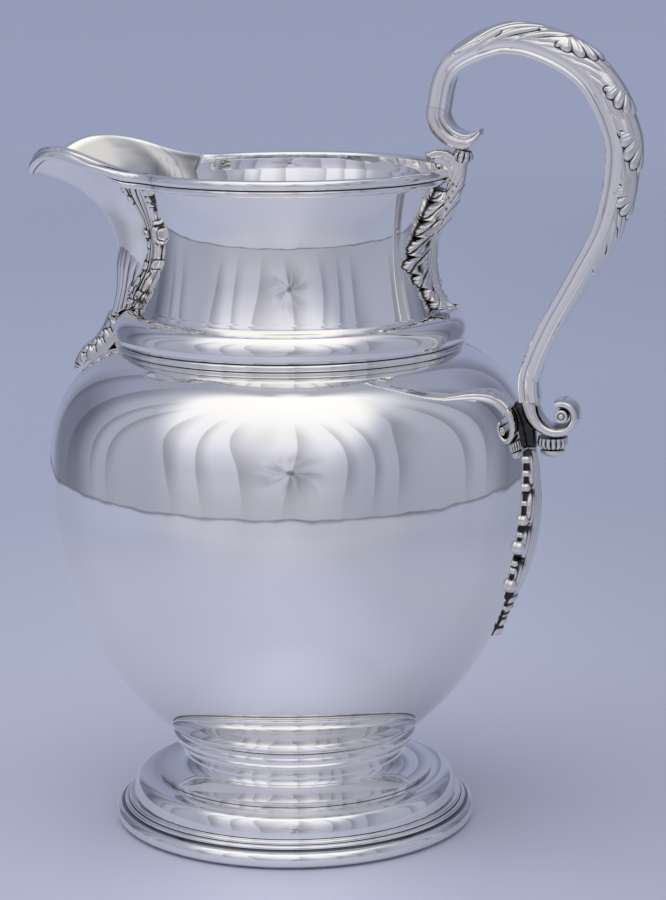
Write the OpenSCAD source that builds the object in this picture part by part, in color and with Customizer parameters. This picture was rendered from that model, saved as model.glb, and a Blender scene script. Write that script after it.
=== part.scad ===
// Silver water ewer: raised sheet vessel on a spreading foot, with cast scroll handle and leaf mounts.
// The origin is the middle of the foot on the table, +Z is up, the spout points to -X, the handle to +X.

/* [Sheet and solder] */
// Thickness of the sheet of body, neck, spout, foot and handle
wall = 1.1; // [0.8:0.1:1.5]
// Solder gap between pieces that lie on each other
solder = 0.15; // [0.1:0.05:0.25]

/* [Foot] */
// Diameter of the base wire
foot_d = 125; // [118:1:134]
// Height of the base wire
base_wire_h = 8.5; // [7.5:0.5:10]
// Width of the base wire, from its outside to the dome
base_wire_w = 6.3; // [5.5:0.1:7]
// Height of the domed part
dome_h = 8; // [6:0.5:10]
// Diameter of the step on top of the dome
step_d = 95.4; // [92:0.2:99]
// Height of the spool
spool_h = 11.5; // [10:0.5:14]
// Diameter of the spool's waist
spool_waist_d = 74; // [71:1:76]
// Diameter of the bead wire under the bowl, along the middle of the wire
bead_d = 80.4; // [78:0.2:84]
// Thickness of the bead wire
bead_t = 4.8; // [4:0.2:5.6]

/* [Body] */
// Diameter of the belly
body_d = 165; // [155:1:175]
// Height from the bowl's seat to the belly
bowl_h = 84; // [76:0.5:92]
// Height from the belly to the collar
shoulder_h = 47.8; // [42:0.2:54]
// Depth of the dished bottom
dish_h = 4; // [3:0.5:5]
// Fullness of the bowl, where 2 is an ellipse
bowl_power = 1.9; // [1.8:0.05:2.1]
// Fullness of the shoulder, where 2 is an ellipse
shoulder_power = 3; // [2.6:0.1:3.3]

/* [Neck] */
// Width of the collar beside the neck
collar_w = 8.6; // [7:0.2:10]
// Height of the collar above the shoulder
collar_h = 12.6; // [11:0.2:14]
// Diameter of the neck at its base
neck_base_d = 102.8; // [100:0.2:105]
// Diameter of the neck's waist
neck_waist_d = 94; // [91:1:97]
// Diameter of the neck under the rim
mouth_d = 103.6; // [101:0.2:106]
// Height of the neck
neck_h = 57; // [53:1:62]
// Height of the rim wire
rim_wire_h = 5.6; // [5:0.2:6.2]

/* [Spout] */
// Distance of the lip's tip from the neck under the rim
spout_out = 38.8; // [33:0.2:44]
// Distance of the throat's front from the neck's base
throat_out = 6.8; // [5:0.2:8]
// Distance that the spout's foot stands out before the throat
spout_kick = 3.9; // [3:0.1:5]
// Width of the spout at the rim
lip_w = 69; // [65:1:72]
// Width of the spout at its throat
throat_w = 58; // [54:1:61]
// Width of the spout at its foot
spout_foot_w = 24; // [20:1:28]
// Rise of the lip's sides above the rim
lip_rise = 6.6; // [5:0.2:9]
// Drop of the lip's tip below the rim
lip_dip = 2.2; // [0:0.2:4]
// Thickness of the seam leaves
seam_leaf_t = 2.4; // [2:0.1:3]
// Width of the seam leaves on the neck
seam_leaf_w = 5.4; // [4.6:0.2:6]
// Thickness of the apron between its flutes
apron_t = 0.9; // [0.7:0.1:1.2]
// Width of the leaf below the apron, at its root
spout_drop_w = 19; // [16:0.5:22]
// Height of the leaf below the apron
spout_drop_h = 19.4; // [17:0.2:21]
// Distance that the leaf below the apron stands out
spout_drop_out = 13.8; // [12:0.2:15]
// Least distance of that leaf above the shoulder
spout_drop_gap = 1.5; // [1:0.1:2]

/* [Handle] */
// Distance of the grip from the rim, to the middle of the strap
grip_reach = 58.5; // [52:0.5:64]
// Rise of the handle above the rim, to the middle of the strap
grip_rise = 41.7; // [36:0.5:48]
// Thickness of the strap
strap_t = 6.8; // [6:0.2:7.6]
// Width of the strap
strap_w = 13; // [11:0.5:15]
// Height of the handle's lower end above the belly
lower_end_h = 31.5; // [28:0.5:35]
// Gap between the strap's lower end and the body
lower_end_gap = 2.2; // [1.8:0.1:3]
// Distance of the volute's eye from the strap's lower end, away from the body
volute_out = 10.8; // [9.6:0.2:12]
// Least width of the web between the body and the cup
web_w = 2.6; // [2:0.1:3]
// Drop of the volute's eye below the strap's lower end
volute_down = 4.5; // [3.5:0.1:5.5]
// Greatest height of the leaf on the handle's back
back_leaf_h = 6; // [5:0.2:7]

/* [Mounts of the handle] */
// Diameter of the knop
knop_d = 7.4; // [6.8:0.2:8]
// Height of the knop
knop_h = 4.7; // [4:0.1:5.5]
// Thickness of the leaf on the neck
neck_leaf_t = 3; // [2.4:0.2:3.4]
// Width of the leaf on the neck
neck_leaf_w = 40; // [34:1:46]
// Width of the bracket and of the web
bracket_w = 8; // [6:0.5:9]
// Diameter of the gadrooned cup
cup_d = 10.4; // [9.6:0.2:11]
// Height of the gadrooned cup
cup_h = 4.2; // [3.6:0.2:4.8]
// Height of the button under the cup
button_h = 3; // [2.4:0.2:3.6]
// Height of the leaf drop on the body
drop_h = 65; // [55:1:72]
// Width of the leaf drop
drop_w = 24; // [20:1:26]
// Thickness of the leaf drop along its ridge
drop_t = 4; // [3:0.2:5]
// Diameter of the largest berry
berry_d = 3.8; // [3.2:0.2:4.4]

/* [Hidden] */
$fn = 96;
SILVER = "silver";
CAST = "lightgray";

// Heights of the foot's pieces, stacked with solder between them
foot_r = foot_d / 2;
dome_r = foot_r - base_wire_w;
dome_z = base_wire_h + solder;
step_r = step_d / 2;
step_z = dome_z + dome_h;
spool_z = step_z + solder;
spool_top_z = spool_z + spool_h;
bead_r = bead_t / 2;
bead_cut = 60;
bead_z = spool_top_z + solder + bead_r * sin(bead_cut);

// Curves of the body, from its seat on the bead wire
belly_r = body_d / 2;
seat_r = bead_d / 2 + bead_r;
dish_at_bead = dish_h * (1 - pow(bead_d / 2 / seat_r, 2));
seat_z = bead_z + bead_r + 2 * solder + dish_at_bead;
belly_z = seat_z + bowl_h;
bowl_depth = bowl_h / full(seat_r / belly_r, bowl_power);
neck_base_r = neck_base_d / 2;
collar_r = neck_base_r + collar_w;
collar_low_r = collar_r - 0.2 * collar_w;
shoulder_depth = shoulder_h / full(collar_low_r / belly_r, shoulder_power);

// Places of the neck and spout, from the shoulder that the neck stands on
neck_waist_r = neck_waist_d / 2;
mouth_r = mouth_d / 2;
collar_low_z = shoulder_z(collar_low_r);
collar_top_z = collar_low_z + collar_h;
roll_mid_r = neck_base_r + 0.07 * collar_w;
roll_mid_z = collar_top_z - 0.54 * collar_h;
neck_z = shoulder_z(neck_base_r) + solder;
rim_z = neck_z + neck_h;
rim_low_z = rim_z - 0.8 * rim_wire_h;
waist_z = (collar_top_z + rim_low_z) / 2;
rim_bead_r = 0.3 * rim_wire_h;
rim_out_r = mouth_r + solder + 2 * rim_bead_r;
rim_top_z = rim_low_z + rim_wire_h;
spout_reach = mouth_r + spout_out;
throat_reach = neck_base_r + throat_out;

// Solves a full curve for the other half axis: 1 at the axis, 0 at the outside
function full(x, power) = pow(1 - pow(x, power), 1 / power);
function shoulder_z(r) = belly_z + shoulder_depth * full(r / belly_r, shoulder_power);
function body_r(z) = belly_r * (z > belly_z
    ? full((z - belly_z) / shoulder_depth, shoulder_power)
    : full((belly_z - z) / bowl_depth, bowl_power));
function neck_r(z) =
    z <= collar_top_z ? neck_base_r :
    z <= waist_z ? mix(neck_waist_r, neck_base_r, pow((waist_z - z) / (waist_z - collar_top_z), 2)) :
    z <= rim_low_z ? mix(neck_waist_r, mouth_r, pow((z - waist_z) / (rim_low_z - waist_z), 2)) :
    mouth_r;

// Lists and vectors
function unit(v) = v / norm(v);
function reverse(list) = [for (i = [len(list) - 1 : -1 : 0]) list[i]];
function mix(a, b, t) = a + (b - a) * t;
function clamp(x) = min(1, max(0, x));
function steps(n) = [for (i = [0 : n]) i / n];

// Points of an oval arc round a centre
function arc(centre, rx, ry, from, to, n = 10) =
    [for (t = steps(n)) let (a = mix(from, to, t)) centre + [rx * cos(a), ry * sin(a)]];

// A line set off to its left by a distance
function set_off(line, distance) =
    [for (i = [0 : len(line) - 1])
        let (t = unit(line[min(i + 1, len(line) - 1)] - line[max(i - 1, 0)]))
        line[i] + distance * [-t[1], t[0]]];

// A sheet of even thickness along a line, turned round the axis
module turned_sheet(line) {
    inner = [for (q = set_off(line, wall)) [max(0, q[0]), q[1]]];
    rotate_extrude() polygon(concat(line, reverse(inner)));
}

// Smooth curve through hand-set points, t runs from 0 to 1
function curve_through(p, t) =
    let (n = len(p) - 1, i = max(0, min(floor(t * n), n - 1)), f = t * n - i,
         a = p[max(i - 1, 0)], b = p[i], c = p[i + 1], d = p[min(i + 2, n)])
    0.5 * (2 * b + (c - a) * f + (2 * a - 5 * b + 4 * c - d) * f * f + (3 * b - 3 * c + d - a) * f * f * f);

// Two triangles between four corners
function quad(a, b, c, d) = [[a, b, c], [a, c, d]];

// Solid through a row of closed sections
module loft(sections) {
    n = len(sections[0]);
    last = (len(sections) - 1) * n;
    sides = [for (i = [0 : len(sections) - 2], j = [0 : n - 1])
        let (k = (j + 1) % n) each quad(i * n + j, i * n + k, (i + 1) * n + k, (i + 1) * n + j)];
    caps = [[for (j = [n - 1 : -1 : 0]) j], [for (j = [0 : n - 1]) last + j]];
    polyhedron([for (s = sections) each s], concat(sides, caps));
}

// Solid between an outer and an inner grid of points
module plate(outer, inner) {
    m = len(outer);
    n = len(outer[0]);
    back = m * n;
    grid = [for (i = [0 : m - 2], j = [0 : n - 2])
        let (a = i * n + j, b = a + n) [a, a + 1, b + 1, b]];
    fronts = [for (q = grid) each quad(q[3], q[2], q[1], q[0])];
    backs = [for (q = grid) each quad(back + q[0], back + q[1], back + q[2], back + q[3])];
    edge = concat([for (j = [0 : n - 1]) j], [for (i = [1 : m - 1]) i * n + n - 1],
        [for (j = [n - 2 : -1 : 0]) (m - 1) * n + j], [for (i = [m - 2 : -1 : 1]) i * n]);
    rims = [for (k = [0 : len(edge) - 1])
        let (a = edge[k], b = edge[(k + 1) % len(edge)]) each quad(b, back + b, back + a, a)];
    points = concat([for (row = outer) each row], [for (row = inner) each row]);
    polyhedron(points, concat(fronts, backs, rims));
}

// Solid between pairs of an outer and an inner point, given in rows
module plate_of_pairs(rows) {
    plate([for (row = rows) [for (pair = row) pair[0]]], [for (row = rows) [for (pair = row) pair[1]]]);
}

// Foot

// Base wire: round rim and two reeds, hollowed below
module foot_rim() {
    torus_r = 0.34 * base_wire_h;
    reed_r = 0.11 * base_wire_h;
    seat_w = wall + solder;
    outline = concat(
        [[dome_r, 0], [foot_r - torus_r, 0]],
        arc([foot_r - torus_r, torus_r], torus_r, torus_r, -70, 70),
        arc([foot_r - 0.62 * base_wire_w, 0.745 * base_wire_h], reed_r, reed_r, -20, 120, 6),
        arc([foot_r - 0.86 * base_wire_w, 0.89 * base_wire_h], reed_r, reed_r, -20, 90, 6),
        [[dome_r, base_wire_h], [dome_r - seat_w, base_wire_h], [dome_r - seat_w, 0.8 * base_wire_h]]);
    color(SILVER) rotate_extrude() polygon(outline);
}

// Dome with a flat step that carries the spool
module foot_dome() {
    mid = [step_r + 0.4, dome_z];
    crown = arc(mid, dome_r - mid[0], dome_h, 0, 90, 12);
    line = concat(crown, [[step_r - wall - 0.4, step_z]]);
    color(SILVER) turned_sheet(line);
}

// Spool: flange under the bead wire, waist and flare down to the step
module foot_spool() {
    waist_r = spool_waist_d / 2;
    flare_h = 0.56 * spool_h;
    neck_up_h = spool_h - flare_h;
    top_r = bead_d / 2 + 0.4;
    waist = spool_z + flare_h;
    flare = reverse(arc([step_r, waist], step_r - waist_r, flare_h - wall, 180, 270, 12));
    neck_up = arc([top_r, waist], top_r - waist_r, neck_up_h - wall, 180, 100, 8);
    flange = [[top_r, spool_top_z - wall]];
    color(SILVER) turned_sheet(concat(flare, neck_up, flange));
}

// Bead wire that the bowl sits on, flat where it lies on the spool
module foot_ring() {
    section = arc([bead_d / 2, bead_z], bead_r, bead_r, -bead_cut, 180 + bead_cut, 24);
    color(SILVER) rotate_extrude() polygon(section);
}

// Body

module body() {
    dish = [for (t = steps(4)) [t * seat_r, seat_z - dish_h * (1 - t * t)]];
    function on_curve(a, depth, power) =
        [belly_r * pow(cos(a), 2 / power), belly_z + depth * pow(sin(a), 2 / power)];
    seat_angle = acos(pow(seat_r / belly_r, bowl_power / 2));
    bowl = [for (t = steps(18)) on_curve(mix(seat_angle, 0, t), -bowl_depth, bowl_power)];
    mouth_angle = acos(pow((neck_base_r - wall) / belly_r, shoulder_power / 2));
    shoulder = [for (t = steps(20)) on_curve(mouth_angle * pow(t, 1.3), shoulder_depth, shoulder_power)];
    line = concat([for (i = [0 : 3]) dish[i]], bowl, [for (i = [1 : 20]) shoulder[i]]);
    color(SILVER) turned_sheet(line);
}

// Neck

// Waisted tube, open towards the spout
module neck() {
    heights = concat([neck_z], [for (t = steps(16)) mix(collar_top_z, rim_low_z, t)], [rim_z]);
    line = [for (z = heights) [neck_r(z), z]];
    opening = [for (t = steps(12)) let (z = mix(collar_top_z + wall, rim_z, t))
        [spout_half_w(seam_share(z)) - wall, z]];
    above = [[lip_w / 2 - wall, rim_z + wall]];
    half = concat(opening, above);
    color(SILVER) difference() {
        turned_sheet(line);
        translate([-spout_reach, 0, 0]) rotate([90, 0, 90]) linear_extrude(spout_reach)
            polygon(concat(half, reverse([for (q = half) [-q[0], q[1]]])));
    }
}

// Collar: a reed on the shoulder and a broad roll above it
module neck_collar() {
    inner_r = neck_base_r + solder;
    reed_r = 0.1 * collar_h;
    bed = [for (t = steps(6)) let (r = mix(inner_r, collar_low_r, t)) [r, shoulder_z(r) + solder]];
    reed = arc([collar_low_r - 0.1, collar_low_z + solder + reed_r], reed_r, reed_r, -70, 80, 8);
    roll_h = collar_top_z - roll_mid_z;
    roll = arc([roll_mid_r, roll_mid_z], collar_r - roll_mid_r, roll_h, -26, 90, 16);
    color(SILVER) rotate_extrude() polygon(concat(bed, reed, roll, [[inner_r, collar_top_z]]));
}

// Reeded wire round the mouth, ending at the spout's sides
module rim_wire() {
    inner_r = mouth_r + solder;
    low_r = 0.72 * rim_bead_r;
    section = concat([[inner_r, rim_low_z]],
        arc([inner_r + low_r, rim_low_z + low_r], low_r, low_r, -80, 70, 8),
        arc([inner_r + rim_bead_r, rim_top_z - rim_bead_r], rim_bead_r, rim_bead_r, -55, 170, 14),
        [[inner_r, rim_top_z - rim_bead_r]]);
    gap_w = lip_w + 4 * solder;
    color(SILVER) difference() {
        rotate_extrude() polygon(section);
        translate([-spout_reach, -gap_w / 2, rim_low_z - wall])
            cube([spout_reach, gap_w, rim_wire_h + 2 * wall]);
    }
}

// Spout

// Share of the way up the seam at a height on the neck
function seam_share(z) = clamp((z - collar_top_z - solder) / (rim_top_z - collar_top_z));
// Half width of the spout up its seam
function spout_half_w(v) = 0.5 * (v < 0.55
    ? mix(spout_foot_w, throat_w, sin(90 * v / 0.55))
    : mix(throat_w, lip_w, pow((v - 0.55) / 0.45, 2)));
// Reach of the spout's front: turned in at the throat, swept out to the tip
function front_reach(v) =
    let (up = max(0, v - 0.3) / 0.7, down = max(0, 0.3 - v) / 0.3)
    throat_reach + spout_kick * down * down
    + (spout_reach - throat_reach) * (0.75 * pow(up, 2.6) + 0.25 * pow(up, 12));
// Height of the lip across the spout, u runs from -1 to 1
function lip_z(u) =
    let (s = abs(u), peak = rim_top_z + lip_rise, tip = rim_z - lip_dip)
    mix(s < 0.5 ? tip : rim_top_z, peak, pow(sin(180 * s), 2));
// Plan of the spout at a share of its height
function spout_plan(u, v) =
    let (seam_r = neck_r(mix(collar_top_z, rim_top_z, v)) + solder, w = spout_half_w(v),
         root = sqrt(seam_r * seam_r - w * w))
    [-mix(root, front_reach(v), cos(90 * u)), w * sin(90 * u)];
// Foot of the spout, lying on the collar's roll
function spout_foot_z(u) =
    let (r = norm(spout_plan(u, 0)) - wall, x = (r - roll_mid_r) / (collar_r - roll_mid_r))
    roll_mid_z + solder + (collar_top_z - roll_mid_z) * sqrt(max(0.12, 1 - x * abs(x)));
function spout_point(u, v) =
    let (p = spout_plan(u, v)) [p[0], p[1], mix(spout_foot_z(u), lip_z(u), v)];
// Outward direction of the spout's surface
function spout_normal(u, v) =
    let (d = 0.02, across = spout_point(min(u + d, 1), v) - spout_point(max(u - d, -1), v),
         up = spout_point(u, min(v + d, 1)) - spout_point(u, max(v - d, 0)))
    unit(cross(up, across));
function off_spout(u, v, distance) = spout_point(u, v) + distance * spout_normal(u, v);
// Inside of the spout, whose edges end on the neck
function spout_inside(u, v) =
    let (p = spout_point(u, v), y = sign(u) * (abs(p[1]) - wall), r = norm([p[0], p[1]]))
    abs(u) > 0.99 ? [-sqrt(r * r - y * y), y, p[2]] : off_spout(u, v, -wall);

module spout() {
    across = [for (t = steps(24)) mix(-1, 1, t)];
    up = steps(22);
    color(SILVER) plate([for (v = up) reverse([for (u = across) spout_point(u, v)])],
        [for (v = up) reverse([for (u = across) spout_inside(u, v)])]);
}

// Two reeds along the lip, outside the sheet
module spout_lip_wire() {
    upper_r = rim_bead_r;
    lower_r = 0.72 * rim_bead_r;
    start = 0.925;
    reeds = concat(arc([upper_r, -upper_r], upper_r, upper_r, 170, -60, 8),
        arc([lower_r, -2 * upper_r - 0.8 * lower_r], lower_r, lower_r, 60, -170, 6));
    sections = [for (t = steps(44))
        let (u = mix(-start, start, t), p = spout_point(u, 1), out = spout_normal(u, 1),
             up = unit(p - spout_point(u, 0.94)))
        [for (q = reeds) p + (q[0] + 2 * solder) * out + q[1] * up]];
    color(SILVER) loft(sections);
}

// Cast leaf over one seam of the spout, with lobes on both edges
module seam_leaf(side) {
    rows = [for (t = steps(40))
        let (v = mix(0.1, 0.94, t), p = spout_point(side, v),
             n = unit([p[0], p[1], 0]), along = [-n[1], n[0], 0] * side * -1, wall_way = [-1, 0, 0],
             out = unit(n + [0, side, 0]), lobe = 0.72 + 0.28 * abs(sin(180 * 5 * t)),
             fade = sin(180 * mix(0.12, 0.9, t)), a = seam_leaf_w * (lobe * fade + 0.15), b = 0.93 * a,
             h = seam_leaf_t * (0.5 + 0.5 * fade))
        [p + solder * out,
         p + a * along + solder * n,
         p + 0.55 * a * along + 0.8 * h * out,
         p + h * 1.25 * out,
         p + 0.55 * b * wall_way + 0.8 * h * out,
         p + b * wall_way + 2 * solder * out]];
    color(CAST) loft(side > 0 ? [for (r = rows) reverse(r)] : rows);
}

module spout_leaf_near() {
    seam_leaf(-1);
}

module spout_leaf_far() {
    seam_leaf(1);
}

// Fluted apron on the lower front of the spout, with an arched upper edge
module spout_apron() {
    flutes = 9;
    half_w = 0.82;
    top = 0.4;
    across = [for (t = steps(36)) mix(-1, 1, t)];
    function up(t, b) = mix(0.02, top * (1 - 0.45 * b * b), t);
    function ridge(t, b) = solder + apron_t * (1 - 0.4 * t) * (1 + abs(sin(90 * flutes * b)));
    outer = [for (t = steps(10)) reverse([for (b = across) off_spout(half_w * b, up(t, b), ridge(t, b))])];
    inner = [for (t = steps(10)) reverse([for (b = across) off_spout(half_w * b, up(t, b), solder)])];
    color(CAST) plate(outer, inner);
}

// Leaf below the apron, turned out over the collar; its edges droop near the root
module spout_drop() {
    foot = spout_point(0, 0);
    shares = [[0.03, 0.03], [0.19, 0.216], [0.45, 0.464], [0.797, 0.68], [1, 1]];
    way = [for (s = shares)
        let (x = s[0] * spout_drop_out, over = shoulder_z(min(x - foot[0], belly_r)) + spout_drop_gap)
        [-x, max(-s[1] * spout_drop_h, over - foot[2])]];
    droop = 0.12 * spout_drop_w;
    function at(t, b, w, lift) =
        let (p = curve_through(way, t), q = curve_through(way, t + 0.02) - curve_through(way, t - 0.02),
             n = unit([q[1], -q[0]]), high = lift - droop * b * b * (1 - t))
        [foot[0] + p[0] + n[0] * high, b * w, foot[2] + p[1] + n[1] * high];
    rows = [for (t = steps(14))
        let (lobe = 0.8 + 0.2 * abs(cos(180 * 2.5 * t)), w = spout_drop_w / 2 * (1 - 0.82 * t * t) * lobe,
             thick = spout_drop_w * mix(0.1, 0.042, t))
        [for (j = [-3 : 3]) let (b = j / 3) [at(t, b, w, thick * (1 - 0.6 * b * b)), at(t, b, w, 0)]]];
    color(CAST) plate_of_pairs(rows);
}

// Handle

// Course of the strap as shares of its reach and rise above the rim, from the curled tip
UPPER_COURSE = [[0.249, 0.341], [0.214, 0.249], [0.133, 0.228], [0.0535, 0.271], [-0.002, 0.374],
    [-0.01, 0.508], [0.062, 0.8225], [0.328, 0.998], [0.58, 0.95], [0.8325, 0.727], [0.979, 0.345],
    [1, 0.034]];
// Course of the strap from the rim's height down to its lower end, as shares of both distances
LOWER_COURSE = [[0.868, 0.774], [0.5625, 0.55], [0.202, 0.307], [0, 0.121], [0, 0]];
curl_points = 5;
curl_share = curl_points / (len(UPPER_COURSE) + len(LOWER_COURSE) - 1);
grip_x = mouth_r + grip_reach;
lower_z = belly_z + lower_end_h;
// The volute's curl is drawn round its eye and carries the cup; the web keeps its width beside the cup
scroll_from = atan2(volute_down, -volute_out);
scroll_to = 478;
scroll_start_r = norm([volute_out, volute_down]);
scroll_eye_r = 0.2 * scroll_start_r;
scroll_strap_t = 0.44 * strap_t;
scroll_end_r = scroll_eye_r + scroll_strap_t / 2 + 2 * solder;
function scroll_fade(a) = pow(clamp((scroll_to - a) / (scroll_to - scroll_from)), 4);
function scroll_r(a) = mix(scroll_end_r, scroll_start_r, scroll_fade(a));
function scroll_t(a) = mix(scroll_strap_t, strap_t, scroll_fade(a));
function scroll_under(a) = lower_z - volute_down + (scroll_r(a) + scroll_t(a) / 2) * sin(a);
cup_top_z = min([for (k = steps(20)) scroll_under(mix(215, 290, k))]) - solder;
cup_z = cup_top_z - cup_h;
cup_in = cup_d / 3;
web_out = web_w + cup_d / 2 + 2 * solder + cup_in - volute_out;
lower_x = max(body_r(lower_z) + lower_end_gap + strap_t / 2, body_r(cup_z + cup_h / 2) + web_out);
scroll_mid = [lower_x + volute_out, lower_z - volute_down];
cup_mid_x = scroll_mid[0] - cup_in;
course = concat([for (s = UPPER_COURSE) [mouth_r + s[0] * grip_reach, rim_z + s[1] * grip_rise]],
    [for (s = LOWER_COURSE) [mix(lower_x, grip_x, s[0]), mix(lower_z, rim_z, s[1])]]);
function strap_at(s) = curve_through(course, s);
// Length of course for a whole share, near the joint of curl and strap
strap_l = norm(strap_at(curl_share + 0.02) - strap_at(curl_share - 0.02)) / 0.04;
// Direction out of the handle's loop
function strap_out(s) =
    let (d = 0.004, t = unit(strap_at(min(s + d, 1)) - strap_at(max(s - d, 0)))) [-t[1], t[0]];
// A point beside the strap: distance outwards in the loop's plane, and across it
function by_strap(s, out, y) = let (p = strap_at(s) + out * strap_out(s)) [p[0], y, p[1]];
// Half section of the strap with rounded edges
function half_section(t, w) =
    [for (k = steps(8)) let (a = mix(-90, 90, k), round = 0.6)
        [sign(a) * t / 2 * pow(abs(sin(a)), round), w * pow(cos(a), round)]];
// Whole closed section from a half section, drawn by a function of place, outward distance and width
function mirrored(half) = concat(half, [for (i = [len(half) - 2 : -1 : 1]) [half[i][0], -half[i][1]]]);

module handle_half(side) {
    outside = half_section(strap_t, strap_w / 2);
    inside = half_section(strap_t - 2 * wall, strap_w / 2 - wall);
    ring = concat(outside, reverse(inside));
    rows = [for (k = steps(40))
        let (s = mix(curl_share, 1, k)) [for (q = ring) by_strap(s, q[0], side * q[1])]];
    color(SILVER) loft(side < 0 ? rows : [for (r = rows) reverse(r)]);
}

module handle_half_near() {
    handle_half(-1);
}

module handle_half_far() {
    handle_half(1);
}

// Cast upper end, rolled in to a tip that turns up and spreads
module upper_scroll() {
    tip_t = 1.2;
    tip_flare = 1.25;
    end = curl_share - solder / strap_l;
    rows = [for (k = steps(24))
        let (t = mix(tip_t, strap_t, pow(k, 0.55)), w = mix(tip_flare, 1, clamp(3 * k)) * strap_w / 2)
        [for (q = mirrored(half_section(t, w))) by_strap(end * k, q[0], q[1])]];
    color(CAST) loft([for (r = rows) reverse(r)]);
}

// Acanthus leaf on the back of the strap
module handle_leaf() {
    from = 0.39;
    to = 0.86;
    back = strap_t / 2 + solder;
    rows = [for (k = steps(54))
        let (s = mix(from, to, k), h = back_leaf_h * sin(180 * pow(mix(0.02, 0.98, k), 0.75)),
             point = mix(0.1, 1, sqrt(clamp(3 * (1 - k)))),
             w = strap_w / 2 * (0.82 + 0.16 * abs(sin(180 * 6 * k))) * point)
        [for (j = [4 : -1 : -4])
            let (b = j / 4, rib = 0.08 * cos(360 * 2 * b), high = back + 0.3 + h * (1 - 0.55 * b * b + rib))
            [by_strap(s, high, b * w), by_strap(s, back, b * w)]]];
    color(CAST) plate_of_pairs(rows);
}

// Gadrooned turning: radius along the height, with lobes round it
module gadrooned(r, h, lobes, low, high) {
    around = 4 * lobes;
    rows = [for (t = steps(8))
        let (swell = mix(low, high, t) + (1 - mix(low, high, t)) * sin(180 * t))
        [for (k = [0 : around - 1])
            let (a = 360 * k / around, lobe = 1 - 0.09 * (1 - abs(sin(lobes * a / 2))))
            [r * swell * lobe * cos(a), r * swell * lobe * sin(a), h * t]]];
    loft([for (row = rows) reverse(row)]);
}

// Bottom of the upper scroll above the knop
scroll_low = min([for (k = steps(40)) let (s = curl_share * k) by_strap(s, 0.36 * strap_t, 0)[2]]);
knop_x = mouth_r + 0.125 * grip_reach;
knop_top_z = scroll_low - solder;
bracket_top_z = knop_top_z - knop_h - solder;

module handle_knop() {
    color(CAST) translate([knop_x, 0, bracket_top_z + solder]) gadrooned(knop_d / 2, knop_h, 10, 0.55, 0.6);
}

// Bracket outside the rim, with a tongue hooked over it
module upper_bracket() {
    foot_z = waist_z + 0.28 * (rim_low_z - waist_z);
    shelf_z = rim_low_z - 0.6;
    leaf_side = [for (t = steps(6))
        let (z = mix(foot_z, shelf_z, t)) [neck_r(z) + neck_leaf_t + 2 * solder, z]];
    stem_in = rim_out_r + 2 * solder;
    stem = concat(leaf_side, [[stem_in, rim_low_z + 0.4], [stem_in, bracket_top_z]],
        [[knop_x + 1.4, bracket_top_z], [knop_x + 0.6, rim_low_z + 2.4],
         [knop_x - 1.2, mix(foot_z, shelf_z, 0.68)], [neck_r(foot_z) + neck_leaf_t + 1, foot_z - 2]]);
    hook_r = 3.5;
    hook_t = 1.7;
    hook_mid = [stem_in - hook_r - 0.2, max(rim_top_z, bracket_top_z - 1) + 0.5];
    hook = concat(arc(hook_mid, hook_r + hook_t / 2, hook_r + hook_t / 2, -14, 150, 14),
        arc(hook_mid, hook_r - hook_t / 2, hook_r - hook_t / 2, 150, 0, 12));
    color(CAST) rotate([90, 0, 0]) translate([0, 0, -bracket_w / 2]) {
        linear_extrude(bracket_w) polygon(stem);
        linear_extrude(bracket_w) polygon(hook);
    }
}

// Acanthus leaf on the neck, its lower end turned out over the collar
module upper_leaf() {
    low_z = collar_top_z + 2 * solder;
    high_z = rim_low_z - 1.4;
    turn_out = 4.4;
    function half_angle(t) =
        let (belly = 0.62 + 0.38 * sin(180 * pow(mix(0.12, 0.86, t), 0.9)),
             lobe = 0.86 + 0.2 * abs(sin(180 * 3.5 * t + 30)))
        neck_leaf_w / 2 * belly * lobe / neck_waist_r * 180 / PI;
    rows = [for (t = steps(34))
        let (z = mix(low_z, high_z, t), r = neck_r(z) + solder + turn_out * pow(clamp(1 - t / 0.2), 2))
        [for (j = [-6 : 6])
            let (b = j / 6, a = b * half_angle(t), rib = 0.12 * cos(360 * 3 * b),
                 high = r + neck_leaf_t * (0.85 - 0.6 * b * b + rib))
            [[high * cos(a), high * sin(a), z], [r * cos(a), r * sin(a), z]]]];
    color(CAST) plate_of_pairs(rows);
}

// Lower end of the handle

function by_scroll(a, out, y) =
    let (p = scroll_mid + (scroll_r(a) + out) * [cos(a), sin(a)]) [p[0], y, p[1]];

// Cast volute that the strap runs into
module lower_scroll() {
    start = scroll_from + solder / scroll_start_r * 180 / PI;
    rows = [for (k = steps(40))
        let (a = mix(start, scroll_to, k), w = strap_w / 2 * mix(1, 0.86, k))
        [for (q = mirrored(half_section(scroll_t(a), w))) by_scroll(a, q[0], q[1])]];
    color(CAST) loft(rows);
}

// Turned eye through the volute, with a domed end on each side
module scroll_eye() {
    half_l = strap_w / 2 * 0.95;
    profile = concat([[0, -half_l - 0.8]], [[0.6 * scroll_eye_r, -half_l - 0.5], [scroll_eye_r, -half_l]],
        [[scroll_eye_r, half_l], [0.6 * scroll_eye_r, half_l + 0.5], [0, half_l + 0.8]]);
    color(CAST) translate([scroll_mid[0], 0, scroll_mid[1]]) rotate([90, 0, 0])
        rotate_extrude() polygon(profile);
}

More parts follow.
